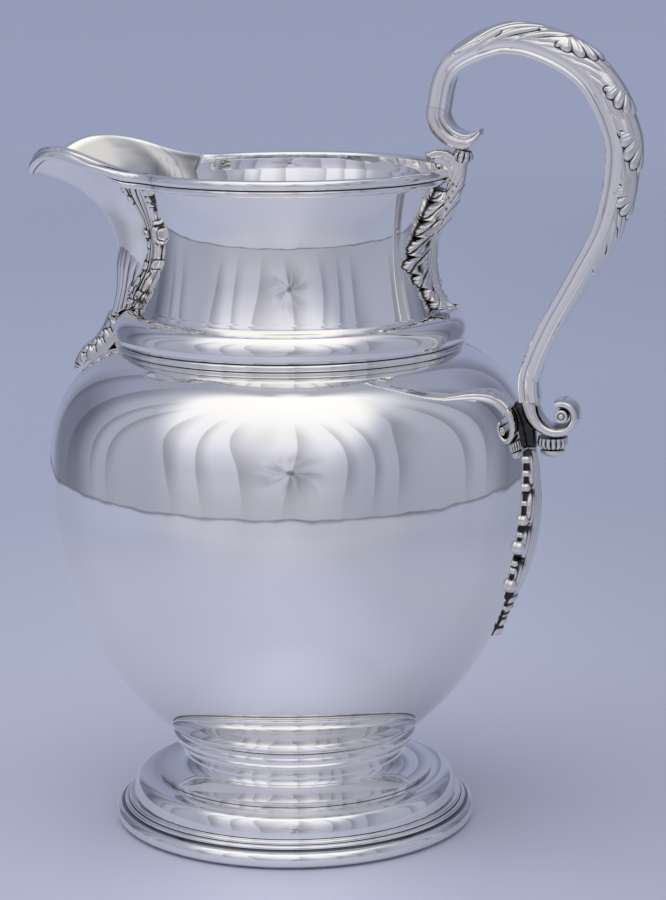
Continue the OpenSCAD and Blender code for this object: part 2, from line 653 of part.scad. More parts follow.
// Web between the volute and the body
module lower_stub() {
    low_z = cup_z + 0.3;
    side_x = cup_mid_x - cup_d / 2 - 2 * solder;
    high_a = scroll_from + 8;
    low_a = 180 + acos((scroll_mid[0] - side_x) / (scroll_r(226) + scroll_t(226) / 2 + solder)) - 1;
    under = [for (t = steps(10)) let (a = mix(low_a, high_a, t))
        scroll_mid + (scroll_r(a) + scroll_t(a) / 2 + 2 * solder) * [cos(a), sin(a)]];
    high_z = under[10][1];
    on_body = [for (t = steps(8)) let (z = mix(high_z, low_z, t)) [body_r(z) + solder, z]];
    color(CAST) rotate([90, 0, 0]) translate([0, 0, -bracket_w / 2])
        linear_extrude(bracket_w) polygon(concat([[side_x, low_z]], under, on_body));
}

module lower_cup() {
    color(CAST) translate([cup_mid_x, 0, cup_z]) gadrooned(cup_d / 2, cup_h, 14, 0.62, 1);
}

// Turned button under the cup
module cup_button() {
    button_r = 0.4 * cup_d;
    profile = concat([[0, 0]], arc([0, button_h], button_r, button_h, -80, -8, 8),
        [[button_r, button_h - solder], [0, button_h - solder]]);
    color(CAST) translate([cup_mid_x, 0, cup_z - button_h]) rotate_extrude() polygon(profile);
}

drop_top_z = cup_z - solder;
// Half width of the leaf drop, from its top to the long tip
function drop_half_w(t) = drop_w / 2 * (t < 0.78
    ? (0.5 + 0.5 * sin(180 * pow(t / 0.78, 1.3) * 0.82)) * (0.85 + 0.15 * abs(cos(180 * 3 * t)))
    : mix(0.42, 0.12, (t - 0.78) / 0.22));
function drop_ridge(t) = drop_t * (t < 0.78
    ? 0.5 + 0.5 * sin(170 * t / 0.78)
    : mix(0.42, 0.3, (t - 0.78) / 0.22));
function on_drop(t, b, lift) =
    let (z = drop_top_z - drop_h * t, r = body_r(z) + solder, a = b * drop_half_w(t) / r * 180 / PI)
    [(r + lift) * cos(a), (r + lift) * sin(a), z];

// Leaf drop that hugs the body below the handle
module drop_leaf() {
    rows = steps(44);
    function thick(t, b) = 0.5 + (drop_ridge(t) - 0.5) * (1 - abs(b)) + 0.25 * cos(360 * 2 * b);
    color(CAST) plate([for (t = rows) reverse([for (j = [-5 : 5]) on_drop(t, j / 5, thick(t, j / 5))])],
        [for (t = rows) reverse([for (j = [-5 : 5]) on_drop(t, j / 5, 0)])]);
}

// Berries along both edges of the leaf drop, growing towards its broad part
module drop_berries() {
    shares = [0.2, 0.36, 0.52, 0.7];
    color(CAST) for (t = shares, side = [-1, 1]) {
        r = berry_d / 2 * (0.7 + 0.3 * t / 0.7);
        reach = 1 + (r + 2 * solder) / drop_half_w(t);
        translate(on_drop(t, side * reach, r)) sphere(r, $fn = 24);
    }
}

body();
neck();
neck_collar();
rim_wire();
spout();
spout_lip_wire();
spout_leaf_near();
spout_leaf_far();
spout_apron();
spout_drop();
handle_half_near();
handle_half_far();
handle_leaf();
upper_scroll();
handle_knop();
upper_bracket();
upper_leaf();
lower_scroll();
scroll_eye();
lower_stub();
lower_cup();
cup_button();
drop_leaf();
drop_berries();
foot_ring();
foot_spool();
foot_dome();
foot_rim();
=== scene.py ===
"""Looks of a silver water ewer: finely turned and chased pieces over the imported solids, in a light tent."""
import math

import bmesh
import bpy
import numpy as np
from mathutils import Matrix


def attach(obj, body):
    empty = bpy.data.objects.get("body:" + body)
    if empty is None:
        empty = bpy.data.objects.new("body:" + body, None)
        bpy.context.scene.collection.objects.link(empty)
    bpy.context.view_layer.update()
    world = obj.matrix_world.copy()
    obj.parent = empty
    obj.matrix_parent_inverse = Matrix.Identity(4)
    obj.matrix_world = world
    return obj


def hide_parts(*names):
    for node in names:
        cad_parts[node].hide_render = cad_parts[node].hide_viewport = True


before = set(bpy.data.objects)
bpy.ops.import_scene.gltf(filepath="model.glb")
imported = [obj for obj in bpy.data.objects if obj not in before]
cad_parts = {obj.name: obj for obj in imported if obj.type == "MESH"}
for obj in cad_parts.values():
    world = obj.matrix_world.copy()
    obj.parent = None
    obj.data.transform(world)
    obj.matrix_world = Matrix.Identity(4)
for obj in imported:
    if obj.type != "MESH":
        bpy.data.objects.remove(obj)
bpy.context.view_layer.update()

# Sizes of the solids in millimetres
MM = 0.001
WALL = 1.1
SOLDER = 0.15
POLISH = 0.02
FOOT_R, BASE_WIRE_H, BASE_WIRE_W = 62.5, 8.5, 6.3
DOME_H, STEP_R = 8.0, 47.7
SPOOL_H, SPOOL_WAIST_R = 11.5, 37.0
BEAD_MID_R, BEAD_R, BEAD_CUT = 40.2, 2.4, 60
BELLY_R, BOWL_H, SHOULDER_H, DISH_H = 82.5, 84.0, 47.8, 4.0
BOWL_POWER, SHOULDER_POWER = 1.9, 3.0
NECK_BASE_R, NECK_WAIST_R, MOUTH_R, NECK_H, RIM_WIRE_H = 51.4, 47.0, 51.8, 57.0, 5.6
COLLAR_W, COLLAR_H = 8.6, 12.6
COLLAR_R = NECK_BASE_R + COLLAR_W
SPOUT_REACH, THROAT_REACH, SPOUT_KICK = MOUTH_R + 38.8, NECK_BASE_R + 6.8, 3.9
LIP_RISE, LIP_DIP = 6.6, 2.2
LIP_W, THROAT_W, SPOUT_FOOT_W = 69.0, 58.0, 24.0
GRIP_REACH, GRIP_RISE, STRAP_T, STRAP_W = 58.5, 41.7, 6.8, 13.0
LOWER_END_H, LOWER_END_GAP, VOLUTE_OUT, VOLUTE_DOWN = 31.5, 2.2, 10.8, 4.5
BACK_LEAF_H, KNOP_R, KNOP_H = 6.0, 3.7, 4.7
CUP_R, CUP_H, BUTTON_H = 5.2, 4.2, 3.0
DROP_H, DROP_W, DROP_T = 65.0, 24.0, 4.0


def mix(a, b, t):
    return a + (b - a) * t


def smooth(low, high, x):
    t = np.clip((x - low) / (high - low), 0, 1)
    return t * t * (3 - 2 * t)


def full(x, power):
    """The other half axis of a full oval curve."""
    return np.maximum(0, 1 - np.abs(x) ** power) ** (1 / power)


# Heights that follow from the sizes, from the table up
DOME_R = FOOT_R - BASE_WIRE_W
DOME_Z = BASE_WIRE_H + SOLDER
STEP_Z = DOME_Z + DOME_H
SPOOL_Z = STEP_Z + SOLDER
SPOOL_TOP_Z = SPOOL_Z + SPOOL_H
BEAD_Z = SPOOL_TOP_Z + SOLDER + BEAD_R * math.sin(math.radians(BEAD_CUT))
SEAT_R = BEAD_MID_R + BEAD_R
SEAT_Z = BEAD_Z + BEAD_R + 2 * SOLDER + DISH_H * (1 - (BEAD_MID_R / SEAT_R) ** 2)
BELLY_Z = SEAT_Z + BOWL_H
BOWL_DEPTH = BOWL_H / full(SEAT_R / BELLY_R, BOWL_POWER)
COLLAR_LOW_R = COLLAR_R - 0.2 * COLLAR_W
SHOULDER_DEPTH = SHOULDER_H / full(COLLAR_LOW_R / BELLY_R, SHOULDER_POWER)


def shoulder_z(r):
    return BELLY_Z + SHOULDER_DEPTH * full(r / BELLY_R, SHOULDER_POWER)


COLLAR_LOW_Z = shoulder_z(COLLAR_LOW_R)
COLLAR_TOP_Z = COLLAR_LOW_Z + COLLAR_H
ROLL_MID_R = NECK_BASE_R + 0.07 * COLLAR_W
ROLL_MID_Z = COLLAR_TOP_Z - 0.54 * COLLAR_H
NECK_Z = shoulder_z(NECK_BASE_R) + SOLDER
RIM_Z = NECK_Z + NECK_H
RIM_LOW_Z = RIM_Z - 0.8 * RIM_WIRE_H
RIM_TOP_Z = RIM_LOW_Z + RIM_WIRE_H
RIM_BEAD_R = 0.3 * RIM_WIRE_H
WAIST_Z = (COLLAR_TOP_Z + RIM_LOW_Z) / 2


def body_r(z):
    above = full((z - BELLY_Z) / SHOULDER_DEPTH, SHOULDER_POWER)
    below = full((BELLY_Z - z) / BOWL_DEPTH, BOWL_POWER)
    return BELLY_R * np.where(z > BELLY_Z, above, below)


def neck_r(z):
    low = mix(NECK_WAIST_R, NECK_BASE_R, np.clip((WAIST_Z - z) / (WAIST_Z - COLLAR_TOP_Z), 0, 1) ** 2)
    high = mix(NECK_WAIST_R, MOUTH_R, np.clip((z - WAIST_Z) / (RIM_LOW_Z - WAIST_Z), 0, 1) ** 2)
    return np.where(z < WAIST_Z, low, high)


# Curves and grids

def bump(x, place, width):
    """1 at a place, fading away on both sides."""
    return np.exp(-(((x - place) / width) ** 2))


def ridges(x, power=0.6):
    """Row of rounded ridges, one for each whole step of x."""
    return np.abs(np.sin(np.pi * x)) ** power


def ring_points(r, a, z):
    """Points at a radius, an angle round the axis and a height."""
    return np.stack([r * np.cos(a), r * np.sin(a), z + 0 * a], -1)


def leaf_grid(rows, columns):
    """Shares along a leaf, across it from -1 to 1, and away from its midrib."""
    k = np.linspace(0, 1, rows)[:, None]
    q = np.linspace(-1, 1, columns)[None, :]
    return k, q, np.abs(q) + 0 * k


def arc(centre, rx, ry, start, end, n=16):
    a = np.radians(np.linspace(start, end, n))
    return np.stack([centre[0] + rx * np.cos(a), centre[1] + ry * np.sin(a)], -1)


def curve_through(points, t):
    """Smooth curve through given points, t runs from 0 to 1."""
    p = np.asarray(points, float)
    n = len(p) - 1
    t = np.asarray(t, float)
    i = np.clip(np.floor(t * n).astype(int), 0, n - 1)
    f = (t * n - i)[..., None]
    a, b, c, d = p[np.maximum(i - 1, 0)], p[i], p[i + 1], p[np.minimum(i + 2, n)]
    return 0.5 * (2 * b + (c - a) * f + (2 * a - 5 * b + 4 * c - d) * f**2 + (3 * b - 3 * c + d - a) * f**3)


def unit(v):
    return v / np.maximum(np.linalg.norm(v, axis=-1, keepdims=True), 1e-9)


def set_off(line, distance):
    """A line in the plane, moved to its left."""
    t = unit(np.gradient(np.asarray(line, float), axis=0))
    return line + distance * np.stack([-t[:, 1], t[:, 0]], -1)


def grid_normals(grid):
    return unit(np.cross(np.gradient(grid, axis=0), np.gradient(grid, axis=1)))


def spread(field, times=6):
    """A field over a grid, blurred."""
    for _ in range(times):
        edge = np.pad(field, 1, mode="edge")
        field = (edge[:-2, 1:-1] + edge[2:, 1:-1] + edge[1:-1, :-2] + edge[1:-1, 2:] + 2 * field) / 6
    return field


def grid_faces(m, n, first=0, wrap=False):
    i, j = np.meshgrid(np.arange(m - 1), np.arange(n if wrap else n - 1), indexing="ij")
    k = (j + 1) % n
    faces = np.stack([i * n + j, i * n + k, (i + 1) * n + k, (i + 1) * n + j], -1)
    return (faces.reshape(-1, 4) + first).tolist()


# Pieces

def add_object(name, data):
    thing = bpy.data.objects.new(name, data)
    bpy.context.collection.objects.link(thing)
    return thing


def add_piece(name, points, faces, nodes, finish, sharp=38, hollow=0.0):
    """A smooth piece that stands for CAD nodes. Each point's value above 0 darkens its colour with painted
    shade, and on castings also with the oxidised recesses; below 0 it makes the face matt.

    Fewer values than points repeat, such as the values round one section.
    """
    mesh = bpy.data.meshes.new(name)
    mesh.from_pydata((np.asarray(points) * MM).tolist(), [], faces)
    # Per-point values: painted shade and oxide above 0, matt below 0
    values = np.resize(np.asarray(hollow, float), len(mesh.vertices))
    mesh.attributes.new("hollow", "FLOAT", "POINT").data.foreach_set("value", values)
    shape = bmesh.new()
    shape.from_mesh(mesh)
    bmesh.ops.remove_doubles(shape, verts=shape.verts, dist=2e-6)
    bmesh.ops.recalc_face_normals(shape, faces=shape.faces)
    shape.to_mesh(mesh)
    shape.free()
    mesh.polygons.foreach_set("use_smooth", [True] * len(mesh.polygons))
    mesh.set_sharp_from_angle(angle=math.radians(sharp))
    mesh.materials.append(FINISHES[finish])
    piece = add_object(name, mesh)
    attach(piece, "root")
    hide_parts(*nodes)


def turned(profile, around=288):
    """Points and faces of a closed outline turned round the axis."""
    p = np.asarray(profile, float)
    a = np.linspace(0, 2 * np.pi, around, endpoint=False)[:, None]
    points = ring_points(p[:, 0], a, p[:, 1])
    ring = np.concatenate([points, points[:1]])
    return ring.reshape(-1, 3), grid_faces(around + 1, len(p), wrap=True)


def turned_sheet(line, wall=WALL):
    """Points and faces of a turned sheet; its outline is the line, then the inner face back again."""
    inner = set_off(line, wall)
    inner[:, 0] = np.maximum(inner[:, 0], 0)
    return turned(np.concatenate([line, inner[::-1]]))


def lofted(sections):
    """Points and faces of a solid through closed sections."""
    m, n = len(sections), len(sections[0])
    faces = grid_faces(m, n, wrap=True)
    faces.append(list(range(n)))
    faces.append(list(range((m - 1) * n, m * n)))
    return np.asarray(sections).reshape(-1, 3), faces


def plated(outer, inner):
    """Points and faces of a solid between two grids."""
    m, n = outer.shape[:2]
    faces = grid_faces(m, n) + grid_faces(m, n, first=m * n)
    edge = [(0, j) for j in range(n)] + [(i, n - 1) for i in range(1, m)]
    edge += [(m - 1, j) for j in range(n - 2, -1, -1)] + [(i, 0) for i in range(m - 2, 0, -1)]
    rim = [i * n + j for i, j in edge]
    for a, b in zip(rim, rim[1:] + rim[:1]):
        faces.append([a, b, b + m * n, a + m * n])
    return np.concatenate([outer.reshape(-1, 3), inner.reshape(-1, 3)]), faces


def joined(solids):
    """Several solids as one set of points and faces."""
    points, faces, count = [], [], 0
    for p, f in solids:
        points.append(p)
        faces += [[k + count for k in face] for face in f]
        count += len(p)
    return np.concatenate(points), faces


# Finishes

class Wire:
    """A shader socket; Python operators on it add Math nodes."""

    def __init__(self, tree, socket=None):
        self.tree = tree
        self.socket = socket

    def add(self, kind, settings=None, inputs=None, out=0):
        node = self.tree.nodes.new(kind)
        for key, value in (settings or {}).items():
            if key == "stops":
                self.set_stops(node.color_ramp, value)
            else:
                setattr(node, key, value)
        for key, value in (inputs or {}).items():
            if isinstance(value, Wire):
                self.tree.links.new(value.socket, node.inputs[key])
            else:
                node.inputs[key].default_value = value
        return Wire(self.tree, node.outputs[out] if len(node.outputs) else None)

    def outputs(self, *names):
        """Other outputs of the node that this socket belongs to."""
        return [Wire(self.tree, self.socket.node.outputs[name]) for name in names]

    @staticmethod
    def set_stops(ramp, stops):
        while len(ramp.elements) < len(stops):
            ramp.elements.new(0.5)
        for element, (place, colour) in zip(ramp.elements, stops):
            element.position = place
            element.color = (*colour, 1)

    def maths(self, operation, a, b=0.0):
        return self.add("ShaderNodeMath", {"operation": operation}, {0: a, 1: b})

    def __add__(self, other):
        return self.maths("ADD", self, other)

    __radd__ = __add__

    def __sub__(self, other):
        return self.maths("SUBTRACT", self, other)

    def __rsub__(self, other):
        return self.maths("SUBTRACT", other, self)

    def __mul__(self, other):
        return self.maths("MULTIPLY", self, other)

    __rmul__ = __mul__

    def noise(self, place, scale, detail):
        return self.add("ShaderNodeTexNoise", inputs={"Vector": place, "Scale": scale, "Detail": detail})

    def scaled(self, vector, factor):
        return self.add("ShaderNodeVectorMath", {"operation": "SCALE"}, {0: vector, "Scale": factor})

    def length(self, vector):
        return self.add("ShaderNodeVectorMath", {"operation": "LENGTH"}, {0: vector}, out="Value")

    def in_view(self, vector):
        """A vector turned so that its Y points away from the camera."""
        inputs = {"Vector": vector, "Angle": -VIEW_TURN}
        return self.add("ShaderNodeVectorRotate", {"rotation_type": "Z_AXIS"}, inputs)

    def between(self, low, high):
        """0 at low, 1 at high, eased."""
        settings = {"interpolation_type": "SMOOTHSTEP"}
        return self.add("ShaderNodeMapRange", settings, {"Value": self, "From Min": low, "From Max": high})

    def blend(self, a, b):
        """Colour a where this is 0, colour b where it is 1."""
        inputs = {"Factor": self, 6: a, 7: b}
        return self.add("ShaderNodeMix", {"data_type": "RGBA"}, inputs, out=2)


def tone(red, green, blue):
    """A colour as a picture shows it, 0 to 255, in linear light."""
    return tuple((c / 255) ** 2.2 for c in (red, green, blue))


def colour(*rgb):
    return (*tone(*rgb), 1)


def new_finish(name):
    material = bpy.data.materials.new(name)
    material.use_nodes = True
    material.node_tree.nodes.clear()
    return material, Wire(material.node_tree)


def finish_out(wire, shader):
    wire.add("ShaderNodeOutputMaterial", inputs={"Surface": shader})


def polished_silver():
    """Mirror-polished sheet with soft waves of the hammer and fine wiping marks.

    Values of the per-point attribute above 0 darken the colour with painted shade in grooves and insides;
    values below 0 make a face matt.
    """
    material, wire = new_finish("polished_silver")
    place = wire.add("ShaderNodeTexCoord", out="Object")
    cloud = wire.noise(place, 30, 2)
    stretch = wire.add("ShaderNodeMapping", inputs={"Vector": place, "Scale": (1, 1, 9)})
    wipes = wire.noise(stretch, 420, 2)
    shade_matt_value = wire.add("ShaderNodeAttribute", {"attribute_name": "hollow"}, out="Fac")
    matt = (0 - shade_matt_value).between(0.1, 0.9)
    bright = cloud.between(0.35, 0.7).blend((0.95, 0.935, 0.9, 1), (0.975, 0.96, 0.925, 1))
    # Painted shade: near black where the per-point value is above 0
    skin = shade_matt_value.between(0.1, 0.9).blend(bright, (0.12, 0.115, 0.11, 1))
    rough = 0.02 + 0.03 * wipes.between(0.45, 0.8) + 0.012 * cloud + 0.25 * matt
    wave = wire.add("ShaderNodeBump", inputs={"Height": cloud, "Strength": 0.04, "Distance": 0.0005})
    shader = wire.add("ShaderNodeBsdfPrincipled", inputs={
        "Base Color": skin, "Metallic": 1 - 0.5 * matt, "Roughness": rough, "Normal": wave})
    finish_out(wire, shader)
    return material


def cast_silver():
    """Chased casting: bright on the high places; oxidised recesses and painted shade in lines and corners
    darken it.
    """
    material, wire = new_finish("cast_silver")
    place = wire.add("ShaderNodeTexCoord", out="Object")
    hollow = wire.add("ShaderNodeAttribute", {"attribute_name": "hollow"}, out="Fac")
    grain = wire.noise(place, 900, 3)
    # Oxide in the recesses and painted shade, from the per-point values with a little grain
    oxide_shade_mask = (hollow + 0.25 * (grain - 0.5)).between(0.25, 0.95)
    bright = grain.between(0.3, 0.7).blend((0.85, 0.825, 0.775, 1), (0.9, 0.875, 0.83, 1))
    oxide_and_shade = oxide_shade_mask.blend(bright, (0.05, 0.046, 0.042, 1))
    rough = 0.06 + 0.05 * grain + 0.25 * oxide_shade_mask
    skin = wire.add("ShaderNodeBump", inputs={"Height": grain, "Strength": 0.1, "Distance": 0.0002})
    shader = wire.add("ShaderNodeBsdfPrincipled", inputs={
        "Base Color": oxide_and_shade, "Metallic": 1.0, "Roughness": rough, "Normal": skin})
    finish_out(wire, shader)
    return material


FINISHES = {"polished_silver": polished_silver(), "cast_silver": cast_silver()}


# Foot

def make_foot_rim():
    torus_r = 0.34 * BASE_WIRE_H
    reed_r = 0.11 * BASE_WIRE_H
    seat_w = WALL + SOLDER
    outline = np.concatenate([
        [(DOME_R, 0), (FOOT_R - torus_r, 0)],
        arc((FOOT_R - torus_r, torus_r), torus_r, torus_r, -85, 70, 28),
        arc((FOOT_R - 0.62 * BASE_WIRE_W, 0.745 * BASE_WIRE_H), reed_r, reed_r, -20, 120, 16),
        arc((FOOT_R - 0.86 * BASE_WIRE_W, 0.89 * BASE_WIRE_H), reed_r, reed_r, -20, 90, 14),
        [(DOME_R, BASE_WIRE_H), (DOME_R - seat_w, BASE_WIRE_H), (DOME_R - seat_w, 0.8 * BASE_WIRE_H)]])
    add_piece("base_wire", *turned(outline), ["foot_rim"], "polished_silver", hollow=groove_shade_of(outline))


def make_foot_dome():
    # Steep outer face and flat crown: way inwards and up from the base wire, in millimetres
    face = [(0, 0), (0.2, 2), (0.7, 4), (1.6, 5.8), (2.9, 6.9), (4.5, 7.55), (6.3, 7.9), (8.1, 8)]
    inwards, up = curve_through(face, np.linspace(0, 1, 60)).T
    face_w, face_h = face[-1]
    r = DOME_R - inwards * (DOME_R - STEP_R - 0.4) / face_w
    crown = np.stack([r, DOME_Z + up * DOME_H / face_h], -1)
    line = np.concatenate([crown, [(STEP_R, STEP_Z), (STEP_R - WALL - 0.4, STEP_Z)]])
    add_piece("dome", *turned_sheet(line), ["foot_dome"], "polished_silver")


def make_foot_spool():
    flare_h = 0.56 * SPOOL_H
    top_r = BEAD_MID_R + 0.4
    waist = SPOOL_Z + flare_h
    flare = arc((STEP_R, waist), STEP_R - SPOOL_WAIST_R, flare_h - WALL, 180, 270, 36)[::-1]
    up = arc((top_r, waist), top_r - SPOOL_WAIST_R, SPOOL_H - flare_h - WALL, 180, 100, 24)[1:]
    line = np.concatenate([flare, up, [(top_r, SPOOL_TOP_Z - WALL)]])
    add_piece("spool", *turned_sheet(line), ["foot_spool"], "polished_silver")


def make_foot_ring():
    section = arc((BEAD_MID_R, BEAD_Z), BEAD_R, BEAD_R, -BEAD_CUT, 180 + BEAD_CUT, 44)
    add_piece("bead_wire", *turned(section), ["foot_ring"], "polished_silver")


# Vessel

# Mark for matt faces, as a value of the per-point shade and matt attribute: insides, and in part the spout's
# flank
MATT = -1.0


def make_body():
    def on_curve(a, depth, power):
        r = BELLY_R * np.cos(a) ** (2 / power) - POLISH
        return np.stack([r, BELLY_Z + depth * np.sin(a) ** (2 / power)], -1)
    t = np.linspace(0, 1, 10)[:-1]
    dish = np.stack([t * SEAT_R, SEAT_Z - DISH_H * (1 - t * t)], -1)
    seat_angle = math.acos((SEAT_R / BELLY_R) ** (BOWL_POWER / 2))
    mouth_angle = math.acos(((NECK_BASE_R - WALL) / BELLY_R) ** (SHOULDER_POWER / 2))
    bowl = on_curve(np.linspace(seat_angle, 0, 90), -BOWL_DEPTH, BOWL_POWER)
    shoulder = on_curve(mouth_angle * np.linspace(0, 1, 100) ** 1.3, SHOULDER_DEPTH, SHOULDER_POWER)
    line = np.concatenate([dish, bowl, shoulder[1:]])
    add_piece("body_shell", *turned_sheet(line), ["body"], "polished_silver", sharp=50,
              hollow=np.repeat([0, MATT], len(line)))


def make_neck():
    z = np.concatenate([[NECK_Z], np.linspace(COLLAR_TOP_Z, RIM_LOW_Z, 90), [RIM_Z]])[:, None]
    half_w = spout_half_w(np.clip((z - COLLAR_TOP_Z - SOLDER) / (RIM_TOP_Z - COLLAR_TOP_Z), 0, 1)) - WALL
    open_angle = np.where(z > COLLAR_TOP_Z + WALL, np.arcsin(half_w / neck_r(z)), 0)
    a = (np.pi - open_angle) * np.linspace(-1, 1, 260)[None, :]
    r = neck_r(z)
    fade = 12
    inside = 1 - smooth(WAIST_Z - fade, WAIST_Z + fade, z) + 0 * a
    tube = plated(ring_points(r, a, z), ring_points(r - WALL, a, z))
    add_piece("neck_tube", *tube, ["neck"], "polished_silver", sharp=50,
              hollow=MATT * np.concatenate([0 * inside, inside]))


def make_neck_collar():
    inner_r = NECK_BASE_R + SOLDER
    r = np.linspace(inner_r, COLLAR_LOW_R, 14)
    bed = np.stack([r, shoulder_z(r) + SOLDER], -1)
    reed_r = 0.1 * COLLAR_H
    reed = arc((COLLAR_LOW_R - 0.1, COLLAR_LOW_Z + SOLDER + reed_r), reed_r, reed_r, -70, 80, 20)
    roll = arc((ROLL_MID_R, ROLL_MID_Z), COLLAR_R - ROLL_MID_R, COLLAR_TOP_Z - ROLL_MID_Z, -26, 90, 48)
    outline = np.concatenate([bed, reed, roll, [(inner_r, COLLAR_TOP_Z)]])
    add_piece("collar", *turned(outline), ["neck_collar"], "polished_silver", hollow=groove_shade_of(outline))


def reed_section(upper_r, lower_r):
    """Two reeds beside a sheet: distance out and height, from the top of the wire."""
    upper = arc((upper_r, -upper_r), upper_r, upper_r, 175, -62, 20)
    lower = arc((lower_r, -2 * upper_r - 0.8 * lower_r), lower_r, lower_r, 62, -175, 16)
    return np.concatenate([upper, lower])


REEDS = reed_section(RIM_BEAD_R, 0.72 * RIM_BEAD_R)


def groove_shade_of(outline):
    """Painted shade in the grooves of a turning: 1 at the sharp inner corners of a closed outline, less
    beside them.
    """
    p = np.asarray(outline, float)
    before, after = p - np.roll(p, 1, 0), np.roll(p, -1, 0) - p
    crossed = before[:, 0] * after[:, 1] - before[:, 1] * after[:, 0]
    bend = np.arctan2(crossed, (before * after).sum(1))
    mark = (bend * np.sign(bend.sum()) < -math.radians(25)).astype(float)
    return np.maximum(mark, 0.6 * np.maximum(np.roll(mark, 1), np.roll(mark, -1)))


# The lip wire leaves the rim's circle in a curve: the rim wire stops where that curve starts
JOIN_L = 7.0
SEAM_ANGLE = math.asin(LIP_W / 2 / (MOUTH_R + SOLDER))
RIM_STOP = math.pi - SEAM_ANGLE - JOIN_L / MOUTH_R


def make_rim_wire():
    inner_r = MOUTH_R - 0.2
    a = np.linspace(-RIM_STOP, RIM_STOP, 260)[:, None]
    rows = ring_points(inner_r + REEDS[:, 0], a, RIM_TOP_Z + REEDS[:, 1])
    add_piece("rim", *lofted(rows), ["rim_wire"], "polished_silver", hollow=groove_shade_of(REEDS))


# Spout: u runs across it from -1 to 1, v up it from 0 to 1

# Where the spout has its throat's width, and where its front lies furthest in
THROAT_V, FRONT_V = 0.55, 0.3


def spout_half_w(v):
    low = mix(SPOUT_FOOT_W, THROAT_W, np.sin(np.pi / 2 * np.minimum(v, THROAT_V) / THROAT_V))
    high = mix(THROAT_W, LIP_W, (np.maximum(v - THROAT_V, 0) / (1 - THROAT_V)) ** 2)
    return 0.5 * np.where(v < THROAT_V, low, high)


def front_reach(v):
    up = np.maximum(0, v - FRONT_V) / (1 - FRONT_V)
    down = np.maximum(0, FRONT_V - v) / FRONT_V
    sweep = (SPOUT_REACH - THROAT_REACH) * (0.75 * up**2.6 + 0.25 * up**12)
    return THROAT_REACH + SPOUT_KICK * down**2 + sweep


def lip_z(u):
    side = np.abs(u)
    start = np.where(side < 0.5, RIM_Z - LIP_DIP, RIM_TOP_Z)
    return mix(start, RIM_TOP_Z + LIP_RISE, np.sin(np.pi * side) ** 2)


def spout_plan(u, v):
    seam_r = neck_r(mix(COLLAR_TOP_Z, RIM_TOP_Z, v)) + SOLDER
    w = spout_half_w(v)
    root = np.sqrt(seam_r**2 - w**2)
    return -mix(root, front_reach(v), np.cos(np.pi / 2 * u)), w * np.sin(np.pi / 2 * u)


def spout_foot_z(u):
    x, y = spout_plan(u, np.zeros_like(u))
    over = (np.hypot(x, y) - WALL - ROLL_MID_R) / (COLLAR_R - ROLL_MID_R)
    on_roll = np.sqrt(np.maximum(0.12, 1 - over * np.abs(over)))
    return ROLL_MID_Z + SOLDER + (COLLAR_TOP_Z - ROLL_MID_Z) * on_roll


def spout_point(u, v):
    u, v = np.broadcast_arrays(np.asarray(u, float), np.asarray(v, float))
    x, y = spout_plan(u, v)
    return np.stack([x, y, mix(spout_foot_z(u), lip_z(u), v)], -1)


def spout_normal(u, v):
    d = 0.01
    across = spout_point(np.minimum(u + d, 1), v) - spout_point(np.maximum(u - d, -1), v)
    up = spout_point(u, np.minimum(v + d, 1)) - spout_point(u, np.maximum(v - d, 0))
    return unit(np.cross(up, across))


def make_spout():
    u = np.linspace(-1, 1, 130)[None, :]
    v = np.concatenate([np.linspace(0, 0.9, 90), np.linspace(0.905, 1, 30)])[:, None]
    side = np.abs(u)
    outer = spout_point(u, v)
    # The wall thickens below the lip and rounds off at the lip's inner edge
    to_lip = np.clip((v - 0.93) / 0.07, 0, 1)
    swell = 1 + 0.8 * to_lip**2 - 1.2 * smooth(0.84, 1, to_lip)
    inner = outer - (WALL * swell)[..., None] * spout_normal(u + 0 * v, v + 0 * u)
    # Both seams end on the neck's own radius
    for column in (0, -1):
        p = outer[:, column]
        y = np.sign(p[:, 1]) * (np.abs(p[:, 1]) - WALL)
        inner[:, column] = np.stack([-np.sqrt(p[:, 0] ** 2 + p[:, 1] ** 2 - y**2), y, p[:, 2]], -1)
    # The flank is satin; the inside gets painted shade in faint streaks
    satin = 0.65 * MATT * smooth(0.05, 0.2, v) * (1 - smooth(0.75, 0.95, v)) * (1 - smooth(0.8, 1, side))
    streaks = np.sin(9 * side + 6 * v) ** 2 * smooth(0.4, 0.8, side)
    inner_shade = (0.45 + 0.2 * streaks) * (1 - smooth(0.965, 0.995, v))
    add_piece("spout_shell", *plated(outer, inner), ["spout"], "polished_silver", sharp=50,
              hollow=np.concatenate([satin.ravel(), inner_shade.ravel()]))


